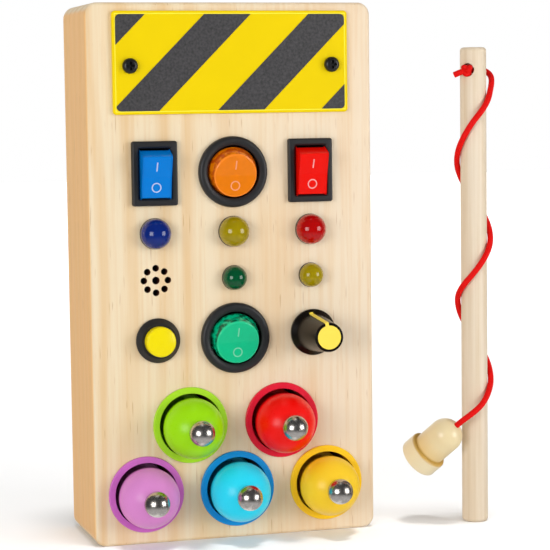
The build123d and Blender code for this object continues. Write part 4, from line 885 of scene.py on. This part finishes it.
# -------------------- stage
class BUSY_OT_stage(bpy.types.Operator):
    """Makes the camera, the softboxes, the plain world, the floor and its own lamp, and the card that the
    shiny pieces mirror."""

    bl_idname = "busy.stage"
    bl_label = "Stage"

    def execute(self, context):
        p = context.scene.busy_stage
        scene = context.scene
        scene.view_settings.view_transform = "Standard"

        # The camera's place in metres, its turns in degrees and its lens in millimetres
        lens = bpy.data.cameras.new("camera")
        lens.sensor_width = 36.0
        lens.lens = 133.87
        camera = bpy.data.objects.new("camera", lens)
        camera.location = (-0.178285, -0.662728, 0.144357)
        yaw, pitch, roll = (math.radians(a) for a in (16.622, 4.9, -0.7514))
        turn = Euler((0, 0, -yaw)).to_matrix() @ Euler((math.pi / 2 - pitch, 0, 0)).to_matrix()
        camera.rotation_euler = (turn @ Euler((0, 0, roll)).to_matrix()).to_euler()
        scene.collection.objects.link(camera)
        scene.camera = camera

        # Square softboxes, each so many degrees round the aim, a reach away and a rise above it, in metres
        aim, reach, rise = Vector((0, -0.02, 0.09)), 1.0, 0.09
        for name, side, power in (("softbox_right", 48, p.key_power), ("softbox_left", -48, p.fill_power)):
            data = bpy.data.lights.new(name, "AREA")
            data.shape = "SQUARE"
            data.size = 0.48
            data.energy = power
            lamp = bpy.data.objects.new(name, data)
            turn = math.radians(side)
            lamp.location = aim + Vector((reach * math.sin(turn), -reach * math.cos(turn), rise))
            lamp.rotation_euler = (aim - lamp.location).to_track_quat("-Z", "Y").to_euler()
            scene.collection.objects.link(lamp)

        # A broad high lamp that lights the floor alone, so that a soft shadow falls beside the object's foot
        data = bpy.data.lights.new("floor_light", "SUN")
        data.energy = p.floor_power
        data.angle = math.radians(11)
        data.cycles.max_bounces = 0
        floor_light = bpy.data.objects.new("floor_light", data)
        floor_light.rotation_euler = Vector((-0.02, 0.14, -1)).to_track_quat("-Z", "Y").to_euler()
        scene.collection.objects.link(floor_light)

        # Plain world: white to the camera and in mirrors and clear plastic, but it sheds only the sky's light
        world = bpy.data.worlds.new("plain")
        world.use_nodes = True
        tree = world.node_tree
        tree.nodes.clear()
        path = add(tree, "LightPath")
        seen = path["Is Camera Ray"]
        for ray in ("Is Glossy Ray", "Is Transmission Ray"):
            seen = add(tree, "Math", {0: seen, 1: path[ray]}, operation="ADD", use_clamp=True)[0]
        strength = add(tree, "MapRange", {"Value": seen, "To Min": p.sky, "To Max": 1.0})[0]
        back = add(tree, "Background", {"Color": (1, 1, 1, 1), "Strength": strength})[0]
        add(tree, "OutputWorld", {"Surface": back})
        scene.world = world

        # Pale floor: even, and lifted where the camera sees it from 0.2 m to 1 m away, up to the white behind
        made, tree, place = start("studio_floor")
        mottle = add(tree, "TexNoise", {"Vector": place, "Scale": 1 / (50 * MM)})["Fac"]
        tone = add(tree, "Mix", {0: mottle, 6: p.floor, 7: darker(p.floor, 0.98)})[2]
        away = add(tree, "VectorMath", {0: place}, operation="LENGTH")["Value"]
        far = {"Value": away, "From Min": 0.2, "From Max": 1.0, "To Max": 0.38}
        far = add(tree, "MapRange", far)[0]
        seen = add(tree, "LightPath")["Is Camera Ray"]
        lift = add(tree, "Math", {0: seen, 1: far}, operation="MULTIPLY")[0]
        end(tree, {"Base Color": tone, "Roughness": 0.9, "Specular IOR Level": 0.0,
                   "Emission Color": (1, 1, 1, 1), "Emission Strength": lift})
        across = np.linspace(-3.0, 3.0, 25)     # metres
        x, y = np.meshgrid(across, across)
        floor = self.sheet("floor", np.stack([x, y, np.zeros_like(x)], axis=-1), made)
        floor.visible_glossy = False
        alone = bpy.data.collections.new("floor_only")
        alone.objects.link(floor)
        floor_light.light_linking.receiver_collection = alone

        # Grey card: a dome with a lighter foot, which the shiny pieces mirror round the softboxes
        made, tree, place = start("grey_card")
        height = add(tree, "SeparateXYZ", {"Vector": place})["Z"]
        low = add(tree, "MapRange", {"Value": height, "From Min": -0.5, "From Max": -1.3})[0]
        tone = add(tree, "Mix", {0: low, 6: p.card, 7: p.card_low})[2]
        glow = add(tree, "Emission", {"Color": tone, "Strength": 1.0})[0]
        add(tree, "OutputMaterial", {"Surface": glow})
        radius = 2.2                            # metres
        turn, rise = np.meshgrid(np.radians(np.linspace(-150, 150, 61)), np.radians(np.linspace(-80, 80, 41)))
        dome = np.stack([np.sin(turn) * np.cos(rise), -np.cos(turn) * np.cos(rise), np.sin(rise)], axis=-1)
        card = self.sheet("card", radius * dome, made)
        for ray in ("camera", "diffuse", "transmission", "volume_scatter", "shadow"):
            setattr(card, f"visible_{ray}", False)
        return {"FINISHED"}

    def sheet(self, name, grid, finish):
        """An open sheet from a grid of points in metres, which is no part of the object."""
        rows, columns = grid.shape[:2]
        index = np.arange(rows * columns).reshape(rows, columns)
        quads = np.stack([index[:-1, :-1], index[:-1, 1:], index[1:, 1:], index[1:, :-1]], axis=-1)
        mesh = bpy.data.meshes.new(name)
        mesh.from_pydata(grid.reshape(-1, 3), [], quads.reshape(-1, 4))
        mesh.materials.append(finish)
        made = bpy.data.objects.new(name, mesh)
        bpy.context.scene.collection.objects.link(made)
        return made


GROUPS = {
    "busy_wand": BusyWand,
    "busy_board": BusyBoard,
    "busy_plate": BusyPlate,
    "busy_switches": BusySwitches,
    "busy_lamps": BusyLamps,
    "busy_controls": BusyControls,
    "busy_pegs": BusyPegs,
    "busy_stage": BusyStage,
}
OPERATORS = (
    BUSY_OT_stage,
    BUSY_OT_wand,
    BUSY_OT_board,
    BUSY_OT_plate,
    BUSY_OT_switches,
    BUSY_OT_lamps,
    BUSY_OT_controls,
    BUSY_OT_pegs,
    BUSY_OT_inside,
)


class BUSY_PT_panel(bpy.types.Panel):
    """Lists the pieces' operators and their settings."""

    bl_idname = "BUSY_PT_panel"
    bl_label = "Busy Board"
    bl_space_type = "VIEW_3D"
    bl_region_type = "UI"
    bl_category = "Busy Board"

    def draw(self, context):
        for operator in OPERATORS:
            self.layout.operator(operator.bl_idname)
        for name, group in GROUPS.items():
            box = self.layout.box()
            for key in group.__annotations__:
                box.prop(getattr(context.scene, name), key)


def register():
    for name, group in GROUPS.items():
        bpy.utils.register_class(group)
        setattr(bpy.types.Scene, name, PointerProperty(type=group))
    for operator in OPERATORS:
        bpy.utils.register_class(operator)
    bpy.utils.register_class(BUSY_PT_panel)


def unregister():
    bpy.utils.unregister_class(BUSY_PT_panel)
    for operator in reversed(OPERATORS):
        bpy.utils.unregister_class(operator)
    for name, group in reversed(GROUPS.items()):
        delattr(bpy.types.Scene, name)
        bpy.utils.unregister_class(group)


def main():
    register()
    bpy.ops.busy.stage()
    bpy.ops.busy.wand()
    bpy.ops.busy.board()
    bpy.ops.busy.plate()
    bpy.ops.busy.switches()
    bpy.ops.busy.lamps()
    bpy.ops.busy.controls()
    bpy.ops.busy.pegs()
    bpy.ops.busy.inside()


if __name__ == "__main__":
    main()
